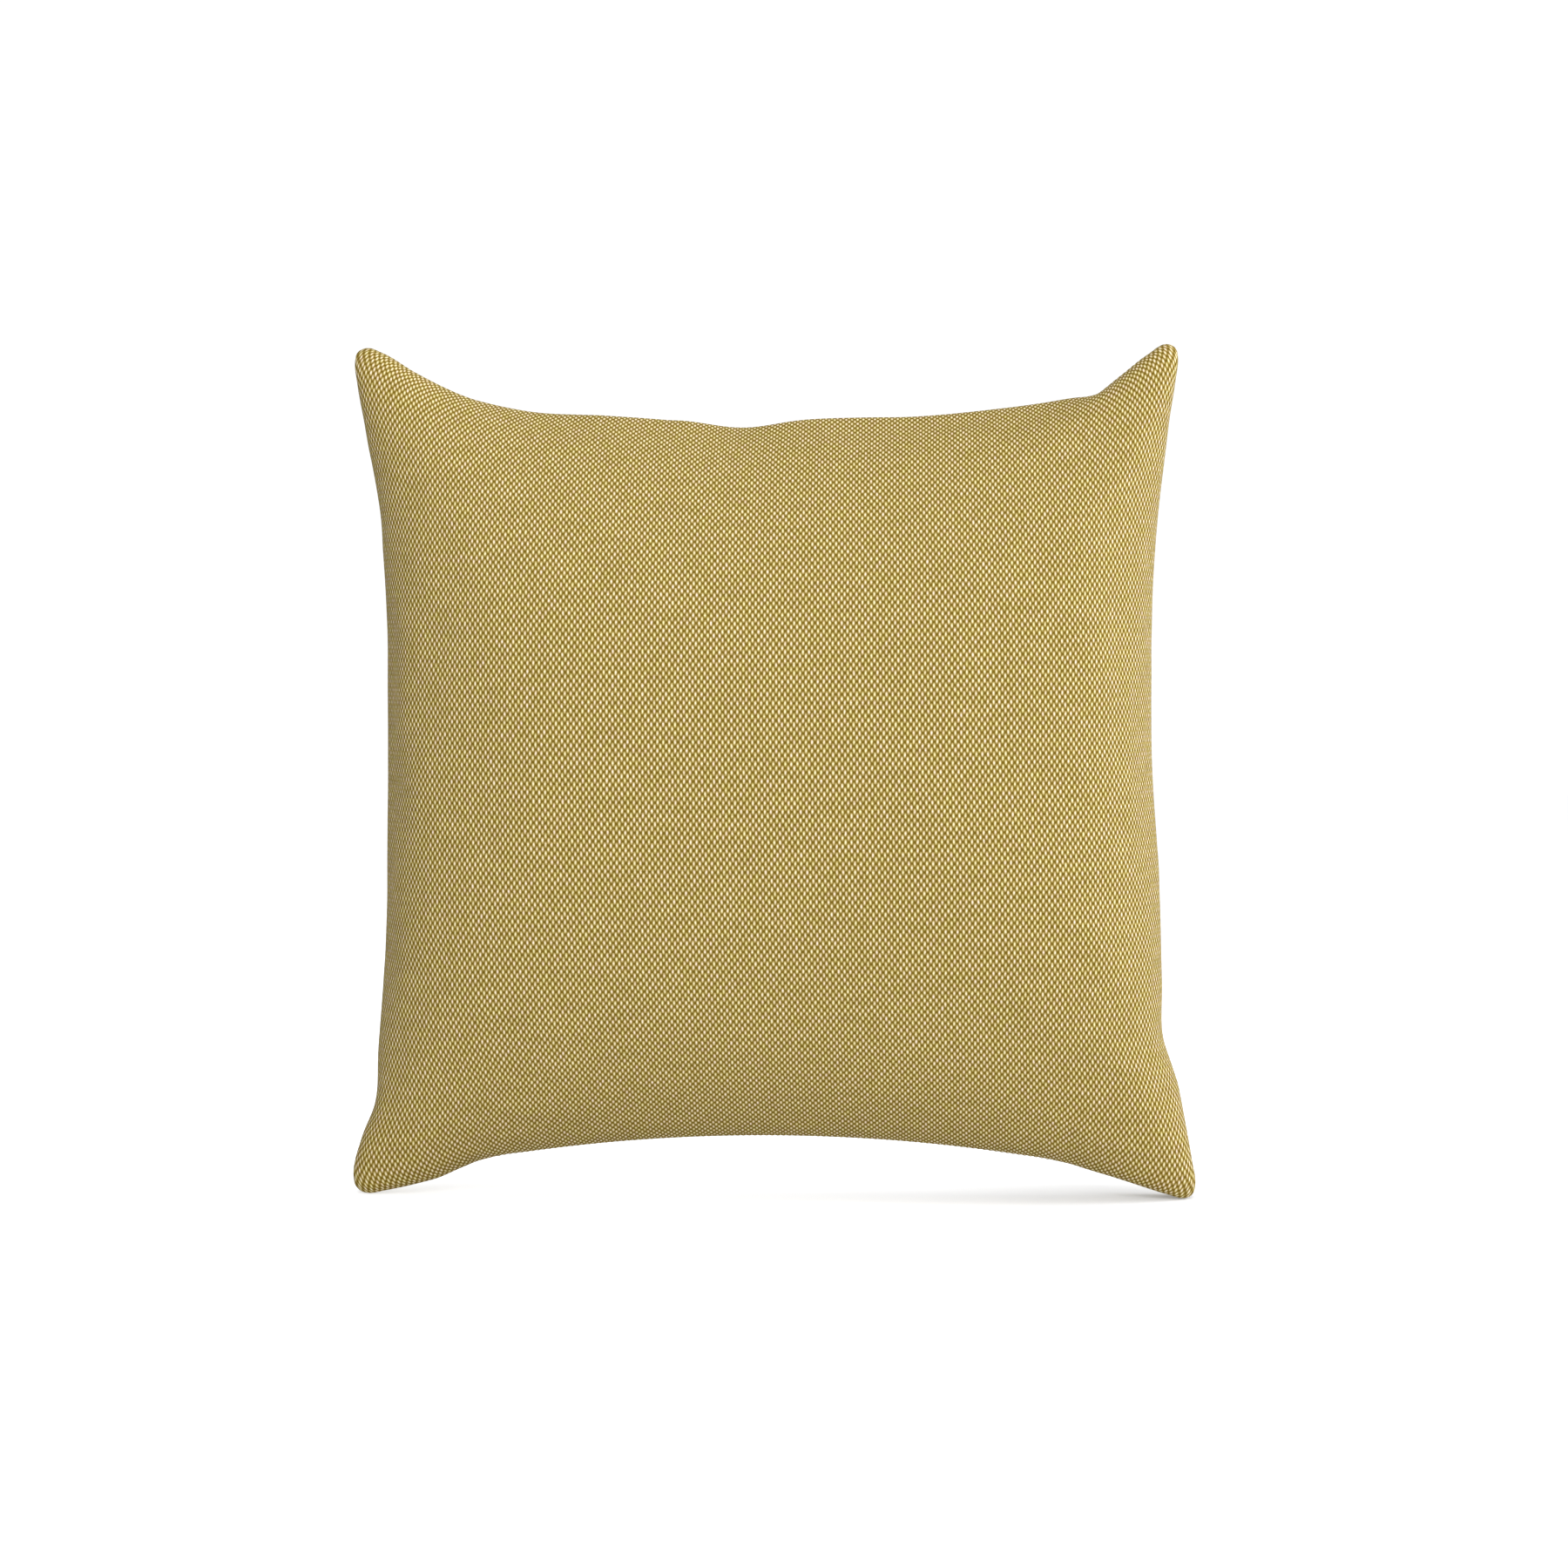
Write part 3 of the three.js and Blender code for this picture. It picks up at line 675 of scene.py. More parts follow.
MUSTARD_YARN = (0.190, 0.119, 0.010)
GOLD_FRINGE = (0.598, 0.465, 0.162)  # where a float thins out, the mustard shows through it
CREAM_YARN = (1.0, 0.890, 0.650)
FLOAT_REACH_ACROSS = 0.33  # how far a cream float reaches from its middle, in spots
FLOAT_REACH_DOWN = 0.47
FLOAT_LEAST, FLOAT_SPREAD = 0.93, 0.2  # how strongly each float shows
FLOAT_TINTS = (1.02, 0.99, 1.09, 1), (0.985, 1.005, 0.89, 1)
DYE_PATCHES = (1.03, 1.0, 1.25, 1), (0.97, 1.0, 0.75, 1)
SLUB_STREAKS = [(0.3, (0.9, 0.9, 0.88)), (0.7, (1.06, 1.06, 1.08))]
HAIR_SHADES = [(0.25, (0.82, 0.80, 0.74)), (0.75, (1.16, 1.18, 1.24))]
# How fine each unevenness is, in noise waves to a millimetre of cloth.
WANDER_SCALE, SHIVER_SCALE, PATCH_SCALE, HAIR_SCALE = 0.045, 0.35, 0.16, 1.5
SLUB_SCALE = (0.035, 0.5, 1)
SLUB_SHOWS = 0.8
WANDER = (0.5, 0.5, 0)  # millimetres across and down
SHIVER = (0.5, 0.9, 0)
HAIR_RELIEF = 0.35  # beside a float's own height
WEAVE_RELIEF = 0.4 * MM
WEAVE_ROUGHNESS = 0.98
FLOAT_SMOOTHER = 0.12


def weave_cells(tree, mark):
    """The weave's two diagonal counts, with the yarns wandering a little."""
    spot = mark
    for scale, reach in ((WANDER_SCALE, WANDER), (SHIVER_SCALE, SHIVER)):
        loose = noise(tree, mark, scale, 2.0, "Color")
        astray = vector_maths(tree, "SUBTRACT", loose, (0.5, 0.5, 0.5))
        spot = vector_maths(tree, "ADD", spot, vector_maths(tree, "MULTIPLY", astray, reach))
    parts = tree.nodes.new("ShaderNodeSeparateXYZ")
    link(tree, spot, parts.inputs[0])
    across = maths(tree, "DIVIDE", parts.outputs[0], SPOT_ACROSS)
    down = maths(tree, "DIVIDE", parts.outputs[1], SPOT_DOWN)
    return maths(tree, "ADD", across, down), maths(tree, "SUBTRACT", across, down)


def hill(tree, offset, reach):
    """A smooth rise, from 0 at the reach to 1 in the middle."""
    away = maths(tree, "DIVIDE", maths(tree, "ABSOLUTE", offset), reach)
    away = maths(tree, "MINIMUM", away, 1.0)
    wave = maths(tree, "COSINE", maths(tree, "MULTIPLY", away, math.pi))
    return maths(tree, "ADD", maths(tree, "MULTIPLY", wave, 0.5), 0.5)


def cream_float(tree, rising, falling):
    """1 on the middle of a cream float, 0 on the mustard yarns between floats."""
    past = [maths(tree, "SUBTRACT", k, maths(tree, "ROUND", k)) for k in (rising, falling)]
    across = maths(tree, "MULTIPLY", maths(tree, "ADD", *past), 0.5)
    down = maths(tree, "MULTIPLY", maths(tree, "SUBTRACT", *past), 0.5)
    return maths(tree, "MULTIPLY", hill(tree, across, FLOAT_REACH_ACROSS),
                 hill(tree, down, FLOAT_REACH_DOWN))


def cell_noise(tree, rising, falling):
    """Two values of its own for each float."""
    combine = tree.nodes.new("ShaderNodeCombineXYZ")
    for k, count in enumerate((rising, falling)):
        link(tree, maths(tree, "ROUND", count), combine.inputs[k])
    white = tree.nodes.new("ShaderNodeTexWhiteNoise")
    link(tree, combine.outputs[0], white.inputs["Vector"])
    apart = tree.nodes.new("ShaderNodeSeparateColor")
    link(tree, white.outputs["Color"], apart.inputs[0])
    return apart.outputs[0], apart.outputs[1]


def weave_material():
    made, tree, shader = material("mustard_cream_weave")
    mark = tree.nodes.new("ShaderNodeAttribute")
    mark.attribute_name = "cloth"
    mark = mark.outputs["Vector"]
    rising, falling = weave_cells(tree, mark)
    shown = cream_float(tree, rising, falling)
    strength, tint = cell_noise(tree, rising, falling)
    uneven = maths(tree, "ADD", maths(tree, "MULTIPLY", strength, FLOAT_SPREAD), FLOAT_LEAST)
    level = maths(tree, "MULTIPLY", shown, uneven)
    colour = ramp(tree, level, [(0, MUSTARD_YARN), (0.5, GOLD_FRINGE), (1, CREAM_YARN)])
    warm = blend_colour(tree, "MIX", tint, *FLOAT_TINTS)
    colour = blend_colour(tree, "MULTIPLY", 1.0, colour, warm)
    dyed = blend_colour(tree, "MIX", noise(tree, mark, PATCH_SCALE, 2.0), *DYE_PATCHES)
    colour = blend_colour(tree, "MULTIPLY", 1.0, colour, dyed)
    slub = noise(tree, vector_maths(tree, "MULTIPLY", mark, SLUB_SCALE), 1.0, 2.0)
    streak = ramp(tree, slub, SLUB_STREAKS)
    colour = blend_colour(tree, "MULTIPLY", SLUB_SHOWS, colour, streak)
    fibre = noise(tree, mark, HAIR_SCALE, 4.0)
    colour = blend_colour(tree, "MULTIPLY", 1.0, colour, ramp(tree, fibre, HAIR_SHADES))
    link(tree, colour, shader.inputs["Base Color"])
    relief = maths(tree, "ADD", level, maths(tree, "MULTIPLY", fibre, HAIR_RELIEF))
    bump(tree, shader, relief, WEAVE_RELIEF, 0.5)
    set_cloth_sheen(shader, WEAVE_ROUGHNESS, 0.02, 0.06)
    rough = maths(tree, "SUBTRACT", WEAVE_ROUGHNESS, maths(tree, "MULTIPLY", level, FLOAT_SMOOTHER))
    link(tree, rough, shader.inputs["Roughness"])
    return made


THREAD_TWIST = 900.0


def object_place(tree):
    return tree.nodes.new("ShaderNodeTexCoord").outputs["Object"]


def yarn_material(name, dark, light):
    """Twisted thread: fine slanted ribs with a little unevenness."""
    made, tree, shader = material(name)
    place = object_place(tree)
    wave = tree.nodes.new("ShaderNodeTexWave")
    wave.wave_type = "BANDS"
    wave.bands_direction = "DIAGONAL"
    wave.inputs["Scale"].default_value = THREAD_TWIST
    wave.inputs["Distortion"].default_value = 1.5
    link(tree, place, wave.inputs["Vector"])
    colour = ramp(tree, wave.outputs["Fac"], [(0.0, dark), (1.0, light)])
    link(tree, colour, shader.inputs["Base Color"])
    bump(tree, shader, wave.outputs["Fac"], 0.0001, 0.6)
    set_cloth_sheen(shader, 0.8, 0.2)
    return made


def small_weave_material(name, dark, light, across, down):
    """A fine plain weave for ticking, tape and label, with yarns across and down in millimetres."""
    made, tree, shader = material(name)
    place = object_place(tree)
    parts = tree.nodes.new("ShaderNodeSeparateXYZ")
    link(tree, place, parts.inputs[0])
    waves = []
    for socket, pitch in ((parts.outputs[0], across), (parts.outputs[2], down)):
        turn = maths(tree, "MULTIPLY", socket, 2 * math.pi / (pitch * MM))
        waves.append(maths(tree, "SINE", turn))
    woven = maths(tree, "MULTIPLY", *waves)
    grime = noise(tree, place, 30.0, 4.0)
    level = maths(tree, "ADD", maths(tree, "MULTIPLY", woven, 0.3), grime)
    colour = ramp(tree, level, [(0.1, dark), (0.9, light)])
    link(tree, colour, shader.inputs["Base Color"])
    bump(tree, shader, level, 0.0002, 0.4)
    set_cloth_sheen(shader, 0.9, 0.1)
    return made


def mottled_material(name, scale, detail, stops, relief, strength):
    """A material whose colour and relief, in millimetres, follow one noise."""
    made, tree, shader = material(name)
    mottle = noise(tree, object_place(tree), scale, detail)
    link(tree, ramp(tree, mottle, stops), shader.inputs["Base Color"])
    bump(tree, shader, mottle, relief * MM, strength)
    return made, tree, shader, mottle


def metal_material(name, dark, light):
    stops = [(0.35, dark), (0.65, light)]
    made, tree, shader, worn = mottled_material(name, 900.0, 5.0, stops, 0.03, 0.3)
    rough = maths(tree, "ADD", maths(tree, "MULTIPLY", worn, 0.25), 0.2)
    link(tree, rough, shader.inputs["Roughness"])
    shader.inputs["Metallic"].default_value = 1.0
    return made


def nylon_material():
    stops = [(0.3, (0.42, 0.30, 0.11)), (0.7, (0.56, 0.42, 0.18))]
    made, _, shader, _ = mottled_material("zip_nylon", 400.0, 3.0, stops, 0.03, 0.3)
    shader.inputs["Roughness"].default_value = 0.38
    return made


def fibre_material():
    stops = [(0.3, (0.78, 0.78, 0.77)), (0.7, (0.93, 0.93, 0.92))]
    made, _, shader, _ = mottled_material("polyester_fibre", 120.0, 6.0, stops, 2.0, 0.9)
    set_cloth_sheen(shader, 1.0, 0.3)
    return made


# ---- layers ----
COVER = dict(inset=0.0, ear=0.0, inner_ear=COVER_EAR, base=SEAM_GROOVE, fold=SEAM_DEPTH,
             height=HALF_THICKNESS, wall=COVER_WALL, allowance=ALLOWANCE_WIDTH,
             allowance_thickness=ALLOWANCE_THICKNESS, zipped=True)
INSERT_HEIGHT = HALF_THICKNESS - COVER_WALL - INSERT_SLACK
INSERT = dict(inset=INSERT_INSET, ear=INSERT_EAR, inner_ear=INSERT_EAR, base=TICKING_GROOVE,
              fold=TICKING_GROOVE, height=INSERT_HEIGHT, wall=TICKING_WALL,
              allowance=TICKING_ALLOWANCE, allowance_thickness=TICKING_ALLOWANCE_THICKNESS,
              zipped=False)


def finish_piece(obj, made, replaced):
    obj.data.materials.clear()
    obj.data.materials.append(made)
    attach(obj, "pillow")
    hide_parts(*replaced)
    return obj


# ---- cover ----
COVER_LINES = spaced(161)
INSERT_LINES = spaced(81)
DRIFT_FADE = 0.1  # share of the face over which the settled movement dies away towards the zip
SIDES = {"front": -1, "back": 1}
coarse, *settled = settle(COVER)
DRIFT = dict(zip(SIDES, settled))


def drift_on(lines, side_name):
    """The settled movement on finer grid lines, fading out where the zip holds the lips."""
    fine = on_fine_grid(DRIFT[side_name], coarse, lines, lines)
    by_lips = 1 - smoothstep((lines + 1) / 2 / DRIFT_FADE)
    near_zip = lips_open(lines)[:, None] * by_lips[None, :]
    return fine * (1 - near_zip)[..., None]


def add_cover(made):
    for name, side in SIDES.items():
        panel = sewn_panel(f"cover_{name}", side, COVER_LINES, COVER, drift_on(COVER_LINES, name))
        finish_piece(panel, made, [f"cover_{name}_panel"])


# ---- sewing ----
def stitch(centre, ahead, outward, length, radius):
    """One stitch: a short taut loop of thread, a little proud in the middle."""
    share = np.array([-0.5, -0.35, 0.0, 0.35, 0.5])
    lift = radius * np.array([-0.9, -0.2, 0.25, -0.2, -0.9])
    points = centre + share[:, None] * length * ahead + lift[:, None] * outward
    return tube_along(points, radius * np.array([0.55, 0.95, 1.0, 0.95, 0.55]))


def stitch_row(name, path, outward, pitch, length, radius, made, replaced):
    """Stitches one pitch apart along a path, each lying along it."""
    path = np.asarray(path, float)
    steps = np.linalg.norm(np.diff(path, axis=0), axis=1)
    run = np.concatenate([[0], np.cumsum(steps)])
    parts = []
    for middle in np.arange(pitch / 2, run[-1], pitch):
        places = [
            np.array([np.interp(middle + k, run, path[:, axis]) for axis in range(3)])
            for k in (-pitch / 2, 0, pitch / 2)
        ]
        off = np.array([np.interp(middle, run, outward[:, axis]) for axis in range(3)])
        ahead = (places[2] - places[0]) / np.linalg.norm(places[2] - places[0])
        parts.append(stitch(places[1], ahead, off, length, radius))
    return finish_piece(joined(name, parts), made, replaced)


def rim_path(lines, inset, ear, drift):
    """The seam line as a grid of places, so that any stretch of it can be read off."""
    flat = shrunk(lines, lines, inset, ear)
    places = np.stack([flat[..., 0], np.zeros(flat.shape[:2]), flat[..., 1]], -1)
    return places + drift


def outward_of(path):
    away = path - np.array([0, 0, CENTRE_Z])
    away[:, 1] = 0
    return away / np.linalg.norm(away, axis=1, keepdims=True)


def add_cover_stitches(made):
    lines = COVER_LINES
    grid = rim_path(lines, SEAM_STITCH_INSET, 0.0, drift_on(lines, "front"))
    start, end = 3, len(lines) - 3  # no stitches in the very tips
    sewn = np.abs(along_zip(lines)) > LIPS_CLOSED_FROM - STITCH_PITCH
    left_part = [i for i in range(start, len(lines) // 2) if sewn[i]]
    right_part = [i for i in range(len(lines) // 2, end) if sewn[i]]
    rows = {
        "top_seam": grid[start:end, -1],
        "left_seam": grid[0, start:end],
        "right_seam": grid[-1, start:end],
        "bottom_seam_left": grid[left_part, 0],
        "bottom_seam_right": grid[right_part, 0],
    }
    for name, path in rows.items():
        thread = name.replace("_seam", "_seam_thread")
        stitch_row(f"{name}_stitches", path, outward_of(path), STITCH_PITCH, STITCH_LENGTH,
                   STITCH_RADIUS, made, [thread])


# ---- insert ----
def add_insert(ticking, thread, fibre):
    lines = INSERT_LINES
    for name, side in SIDES.items():
        panel = sewn_panel(f"insert_{name}", side, lines, INSERT, drift_on(lines, name))
        finish_piece(panel, ticking, [f"insert_{name}_ticking"])
    add_insert_stitches(lines, thread)
    add_filling(lines, fibre)


def add_insert_stitches(lines, thread):
    inset = INSERT_INSET + INSERT_STITCH_INSET
    grid = rim_path(lines, inset, INSERT_EAR, drift_on(lines, "front"))
    ring = rim_ids(len(lines))
    by_hand = [k for k, (i, j) in enumerate(ring) if j == 0 and abs(lines[i]) < CLOSED_BY_HAND]
    machine = ring[by_hand[-1] + 1:] + ring[:by_hand[0]]
    hand = [ring[k] for k in by_hand]
    rows = (
        ("insert_seam_stitches", machine, MACHINE_STITCH, "insert_seam_thread"),
        ("insert_hand_stitches", hand, HAND_STITCH, "insert_closing_stitch"),
    )
    for name, places, sizes, node in rows:
        path = np.array([grid[i, j] for i, j in places])
        stitch_row(name, path, outward_of(path), *sizes, INSERT_STITCH_RADIUS, thread, [node])


def add_filling(lines, fibre):
    """The fibre, as one lumpy body a little inside the ticking."""
    height = INSERT_HEIGHT - TICKING_WALL - PIECE_GAP
    n = len(lines)
    ids = np.arange(n * n).reshape(n, n)
    back = ids + n * n
    for row in (0, -1):
        back[row, :] = ids[row, :]
        back[:, row] = ids[:, row]
    places, quads = [], []
    for (name, side), grid in zip(SIDES.items(), (ids, back)):
        flat = shrunk(lines, lines, FILL_INSET, INSERT_EAR)
        lumps = smooth_field(rng.uniform(0, 1, (n, n, 1)), LUMP_SMOOTHING)[..., 0]
        rise = (height - LUMP_DEPTH * lumps) * fullness(lines, lines)
        layer = np.stack([flat[..., 0], side * rise, flat[..., 1]], -1) + drift_on(lines, name)
        places.append(layer.reshape(-1, 3))
        cells = grid_cells(grid)
        quads.append(cells if side < 0 else cells[:, ::-1])
    filling = mesh_object("insert_filling", np.concatenate(places), np.concatenate(quads))
    finish_piece(filling, fibre, ["insert_fill"])


# ---- zip ----
# Across from the zip's middle, and in from the lips.
TAPE = dict(inner=1.0, outer=13.0, low=6.3, high=6.8)
TAPE_TAIL = 5.0  # the soft ends run on a little under the closed seam
TAPE_RIPPLE, TAPE_RIPPLE_LENGTH = 0.1, 4.7
COIL_FROM, COIL_TO, COIL_PITCH = -131.5, 138.0, 1.25
COIL_MIDDLE, COIL_DEPTH = 1.55, 5.15
COIL_REACH, COIL_RISE, COIL_WIRE = 0.6, 0.55, 0.27
LOOP_STEPS = 10
ZIP_STITCH_Y = 8.5
ZIP_STITCH_OFF = 0.33, -0.94  # outwards from the lip, sideways and up
ZIP_STITCH_SUNK = 0.12
WORN_EDGES = {"zip_slider_body": 0.25, "zip_slider_bridge": 0.18, "zip_pull_tab": 0.25,
              "zip_top_stop_front": 0.3, "zip_top_stop_back": 0.3, "zip_bottom_stop": 0.3}


def in_zip(s, y, depth):
    """The place at s along the zip, y across it and depth in from the lips."""
    s, y, depth = np.broadcast_arrays(s, y, depth)
    flat = on_arc(s, depth)
    return np.stack([flat[..., 0], y, flat[..., 1]], -1)


def add_tape(name, side, made):
    end = ZIP_HALF + TAPE_TAIL
    s = np.linspace(-end, end, 241)[:, None]
    across = np.linspace(TAPE["inner"], TAPE["outer"], 9)
    y = side * np.concatenate([across, across[::-1]])[None]
    flat = np.repeat([TAPE["low"], TAPE["high"]], len(across))
    waves = TAPE_RIPPLE * np.sin(s / TAPE_RIPPLE_LENGTH)
    depth = flat[None] + waves * (np.abs(y) - TAPE["inner"]) / TAPE["outer"]
    tape = joined(f"zip_tape_{name}_woven", [ringed(in_zip(s, y, depth))])
    finish_piece(tape, made, [f"zip_tape_{name}"])


def add_coil(name, side, made):
    """A nylon coil: one round wire in loops; the two sides' loops lie turn about."""
    shift = 0.0 if side < 0 else 0.5
    loops = int((COIL_TO - COIL_FROM) / COIL_PITCH)
    turn = np.linspace(0, loops, loops * LOOP_STEPS + 1)
    s = COIL_FROM + (turn + shift) * COIL_PITCH
    angle = 2 * math.pi * turn
    wire = np.linspace(0, 2 * math.pi, CORD_SIDES, endpoint=False)[None]
    reach = COIL_REACH * np.cos(angle)[:, None] + COIL_WIRE * np.cos(wire) * np.cos(angle)[:, None]
    rise = COIL_RISE * np.sin(angle)[:, None] + COIL_WIRE * np.cos(wire) * np.sin(angle)[:, None]
    rings = in_zip(s[:, None] + COIL_WIRE * np.sin(wire), side * (COIL_MIDDLE - reach),
                   COIL_DEPTH - rise)
    coil = joined(f"zip_coil_{name}_nylon", [ringed(rings)])
    finish_piece(coil, made, [f"zip_coil_{name}"])


def add_zip_stitches(name, side, made):
    """A row of stitches through the panel's lip and the tape behind it."""
    lines = COVER_LINES
    outer = face(side, lines, lines, COVER, drift_on(lines, name))
    held = np.abs(along_zip(lines)) < LIPS_OPEN_TO
    path = []
    for column in outer[held][:, :len(lines) // 4]:
        climb = side * column[:, 1]
        path.append([np.interp(ZIP_STITCH_Y, climb, column[:, axis]) for axis in range(3)])
    sideways, up = ZIP_STITCH_OFF
    off = np.tile([0.0, side * sideways, up], (len(path), 1))
    stitch_row(f"zip_stitches_{name}", np.array(path) - ZIP_STITCH_SUNK * off, off,
               STITCH_PITCH, STITCH_LENGTH, STITCH_RADIUS, made, [f"zip_stitch_{name}"])


def round_edges(node_name, made, width):
    """A metal piece of the zip, with its edges worn round."""
    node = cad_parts[node_name]
    bevel = node.modifiers.new("worn", "BEVEL")
    bevel.width = width * MM
    bevel.segments = 3
    bevel.limit_method = "ANGLE"
    node.data.materials.clear()
    node.data.materials.append(made)


def add_zip(woven, nylon, metal, thread):
    for name, side in SIDES.items():
        add_tape(name, side, woven)
        add_coil(name, side, nylon)
        add_zip_stitches(name, side, thread)
    for name, width in WORN_EDGES.items():
        round_edges(name, metal, width)


# ---- care label ----
LABEL_LEFT, LABEL_RIGHT, LABEL_LOW, LABEL_HIGH = -201.5, -193.6, 62.0, 98.0
LABEL_FOLD = 0.12  # how far its folded end stands out
LABEL_RIPPLE, LABEL_RIPPLE_LENGTH = 0.04, 3.0
LABEL_Y = -1.26, -1.28, -1.42, -1.56, -1.6  # from the front leaf, round the fold, to the back one


def add_label(made):
    """A blank satin strip folded once, sewn into the left seam's allowance."""
    z = np.linspace(LABEL_LOW, LABEL_HIGH, 25)
    across = [LABEL_LEFT, LABEL_RIGHT, LABEL_RIGHT + LABEL_FOLD, LABEL_RIGHT, LABEL_LEFT]
    fold = list(zip(across, LABEL_Y))
    ripple = LABEL_RIPPLE * np.sin(z / LABEL_RIPPLE_LENGTH)
    rings = np.array([[(x, y + r, height) for x, y in fold] for height, r in zip(z, ripple)])
    finish_piece(joined("care_label_satin", [ringed(rings)]), made, ["care_label"])


cover_weave = weave_material()
sewing_thread = yarn_material("sewing_thread", (0.30, 0.21, 0.06), (0.50, 0.38, 0.15))
white_thread = yarn_material("white_thread", (0.62, 0.60, 0.55), (0.85, 0.83, 0.78))
ticking_cloth = small_weave_material("ticking", (0.70, 0.67, 0.60), (0.90, 0.88, 0.82), 0.6, 0.6)
tape_cloth = small_weave_material("zip_tape", (0.34, 0.24, 0.08), (0.50, 0.38, 0.16), 0.9, 0.9)
label_cloth = small_weave_material("label_satin", (0.80, 0.79, 0.75), (0.95, 0.94, 0.91), 0.3, 0.9)
add_cover(cover_weave)
add_cover_stitches(sewing_thread)
add_insert(ticking_cloth, white_thread, fibre_material())
zip_metal = metal_material("zip_metal", (0.30, 0.19, 0.06), (0.50, 0.34, 0.13))
add_zip(tape_cloth, nylon_material(), zip_metal, sewing_thread)
add_label(label_cloth)

# ---- camera, floor and light ----
CAMERA_DISTANCE = 1.9
CAMERA_TURN = math.radians(2.5)
CAMERA_HEIGHT = 0.2786
LENS = 83.43
AIM = Vector((0.0057, 0, 0.2158))


def look(obj, target):
    obj.rotation_euler = (Vector(target) - obj.location).to_track_quat("-Z", "Y").to_euler()


def add_camera():
    camera = bpy.data.objects.new("camera", bpy.data.cameras.new("camera"))
    camera.data.lens = LENS
    camera.data.sensor_width = 36
    camera.location = (
        AIM.x + CAMERA_DISTANCE * math.sin(CAMERA_TURN),
        -CAMERA_DISTANCE * math.cos(CAMERA_TURN),
        CAMERA_HEIGHT,
    )
    look(camera, AIM)
    bpy.context.scene.collection.objects.link(camera)
    bpy.context.scene.camera = camera


FLOOR_HALF = 6000  # millimetres
FLOOR_ALBEDO = (0.58, 0.60, 0.65)
FLOOR_FILL = 0.22  # the sweep's own light on the cloth
FLOOR_SHADED_NEAR, FLOOR_FAR = 0.74, 0.86  # how white the camera sees it: lower under the pillow, a painted shadow strip, and higher farther off
FAR_FROM, FAR_TO = 0.02, 0.12  # metres in front of the pillow's seams, or behind them
SHADE_REACH = 0.045  # how near the pillow must be to shade the sweep's own light
# The painted contact shadow is deepest by the right tip and almost gone by the left one.
SHADE_FADES_FROM, SHADE_FADES_TO = 0.2, -0.2
# the left lift is painted light: extra glow on the floor towards the left
SHADE_AT_RIGHT, SHADE_FADE, LEFT_PAINTED_LIFT = 1.0, 0.75, 0.09


def floor_glow(tree):
    """The floor's own light: all of it for the camera, and only the fill for the cloth."""
    parts = tree.nodes.new("ShaderNodeSeparateXYZ")
    link(tree, object_place(tree), parts.inputs[0])
    away = maths(tree, "ABSOLUTE", parts.outputs[1])
    near, far = FLOOR_SHADED_NEAR - FLOOR_FILL, FLOOR_FAR - FLOOR_FILL
    # painted shadow: the glow the camera sees is dimmer close to the pillow's seams
    glow = mapped(tree, away, FAR_FROM, FAR_TO, near, far, "SMOOTHSTEP")
    leftward = mapped(tree, parts.outputs[0], SHADE_FADES_FROM, SHADE_FADES_TO)
    # painted contact shadow: ambient occlusion darkens the floor's glow near the pillow
    shade = tree.nodes.new("ShaderNodeAmbientOcclusion")
    shade.samples = 12
    shade.inputs["Distance"].default_value = SHADE_REACH
    shut = maths(tree, "SUBTRACT", 1.0, shade.outputs["AO"])
    fading = maths(tree, "MULTIPLY", leftward, SHADE_FADE)
    weight = maths(tree, "SUBTRACT", SHADE_AT_RIGHT, fading)
    lit = maths(tree, "SUBTRACT", 1.0, maths(tree, "MULTIPLY", shut, weight))
    glow = maths(tree, "MULTIPLY", glow, lit)
    # painted light: the glow is raised towards the left, paling the shadows there
    glow = maths(tree, "ADD", glow, maths(tree, "MULTIPLY", leftward, LEFT_PAINTED_LIFT))
    seen = tree.nodes.new("ShaderNodeLightPath").outputs["Is Camera Ray"]
    return maths(tree, "ADD", maths(tree, "MULTIPLY", glow, seen), FLOOR_FILL)


def clear_from_below(tree, shader):
    """Only the floor's top is seen, so that the zip can be looked at from under it."""
    mix = tree.nodes.new("ShaderNodeMixShader")
    clear = tree.nodes.new("ShaderNodeBsdfTransparent")
    backfacing = tree.nodes.new("ShaderNodeNewGeometry").outputs["Backfacing"]
    for socket, source in zip(mix.inputs, (backfacing, shader.outputs[0], clear.outputs[0])):
        link(tree, source, socket)
    link(tree, mix.outputs[0], tree.nodes["Material Output"].inputs["Surface"])


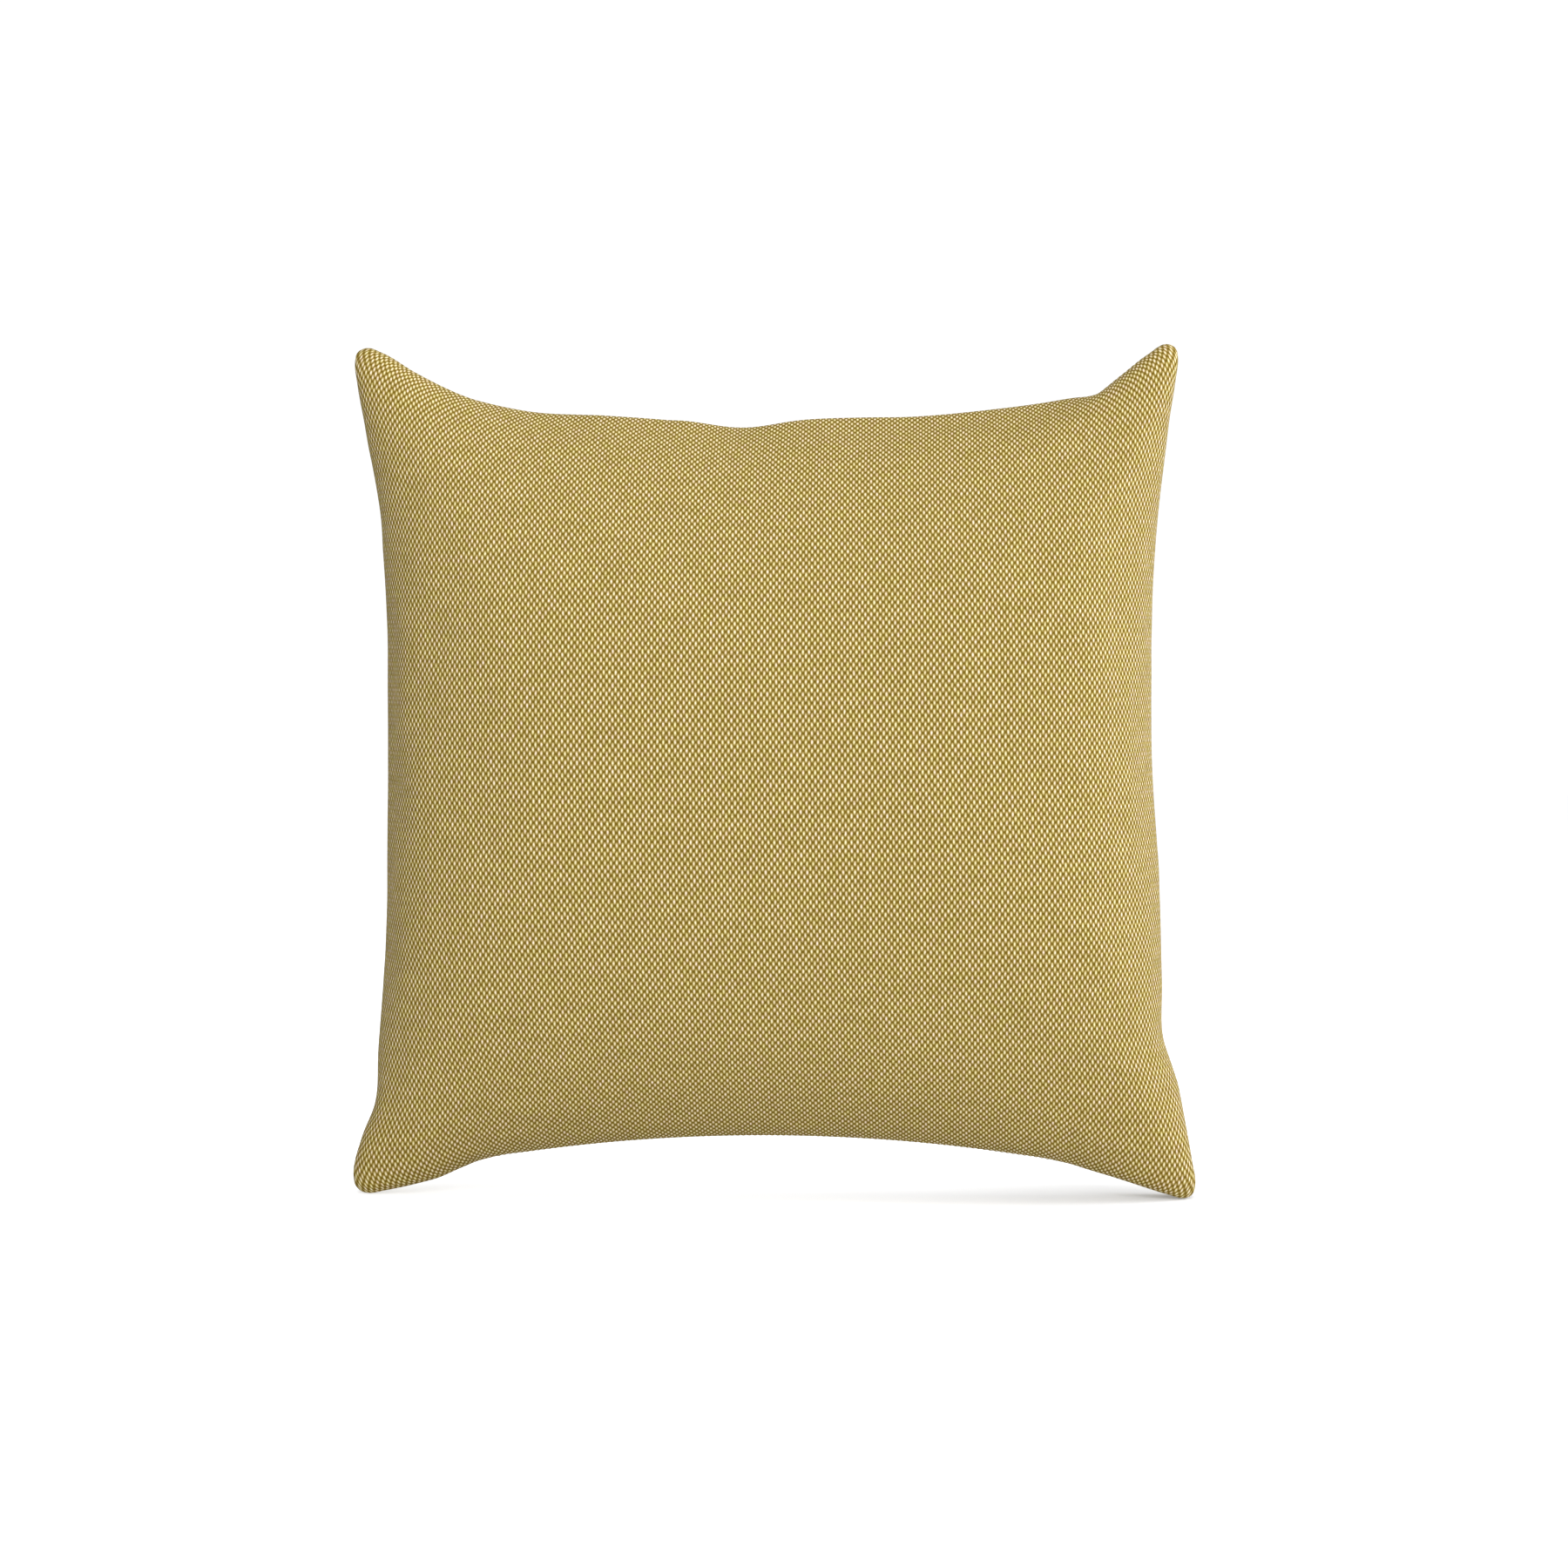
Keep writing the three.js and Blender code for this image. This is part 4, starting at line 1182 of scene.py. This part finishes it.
def add_floor():
    """A plain white sweep that glows nearly evenly, so that only a faint shade shows on it."""
    half = FLOOR_HALF
    corners = [(-half, -half, 0), (half, -half, 0), (half, half, 0), (-half, half, 0)]
    floor = mesh_object("floor", corners, [(0, 1, 2, 3)], smooth=False)
    made, tree, shader = material("floor_white")
    shader.inputs["Base Color"].default_value = (*FLOOR_ALBEDO, 1)
    shader.inputs["Roughness"].default_value = 0.9
    shader.inputs["Specular IOR Level"].default_value = 0.0
    shader.inputs["Emission Color"].default_value = (1, 1, 1, 1)
    link(tree, floor_glow(tree), shader.inputs["Emission Strength"])
    clear_from_below(tree, shader)
    floor.data.materials.append(made)


LIGHT_AIM = (0, 0, 0.22)
# Where each light stands, how wide it is and its watts.
LIGHTS = {
    "key": ((2.3, 0.45, 1.05), 1.2, 43),
    "front": ((0.3, -2.6, 1.3), 1.6, 56),
    "top": ((-0.15, -0.35, 2.6), 1.6, 15),
}
SURROUNDINGS = 0.255
BACKDROP = 1.05  # as the camera sees it


def add_area(name, place, size, power):
    light = bpy.data.lights.new(name, "AREA")
    light.size = size
    light.energy = power
    obj = bpy.data.objects.new(name, light)
    obj.location = place
    look(obj, LIGHT_AIM)
    bpy.context.scene.collection.objects.link(obj)


def add_world():
    """Even light from all round, in front of a plain white backdrop."""
    world = bpy.data.worlds.new("studio")
    bpy.context.scene.world = world
    world.use_nodes = True
    tree = world.node_tree
    around = tree.nodes["Background"]
    behind = tree.nodes.new("ShaderNodeBackground")
    for background, strength in ((around, SURROUNDINGS), (behind, BACKDROP)):
        background.inputs["Color"].default_value = (1, 1, 1, 1)
        background.inputs["Strength"].default_value = strength
    mix = tree.nodes.new("ShaderNodeMixShader")
    seen = tree.nodes.new("ShaderNodeLightPath").outputs["Is Camera Ray"]
    for socket, source in zip(mix.inputs, (seen, around.outputs[0], behind.outputs[0])):
        link(tree, source, socket)
    link(tree, mix.outputs[0], tree.nodes["World Output"].inputs[0])


add_camera()
add_floor()
for light_name, setup in LIGHTS.items():
    add_area(light_name, *setup)
add_world()
bpy.context.scene.view_settings.view_transform = "Standard"
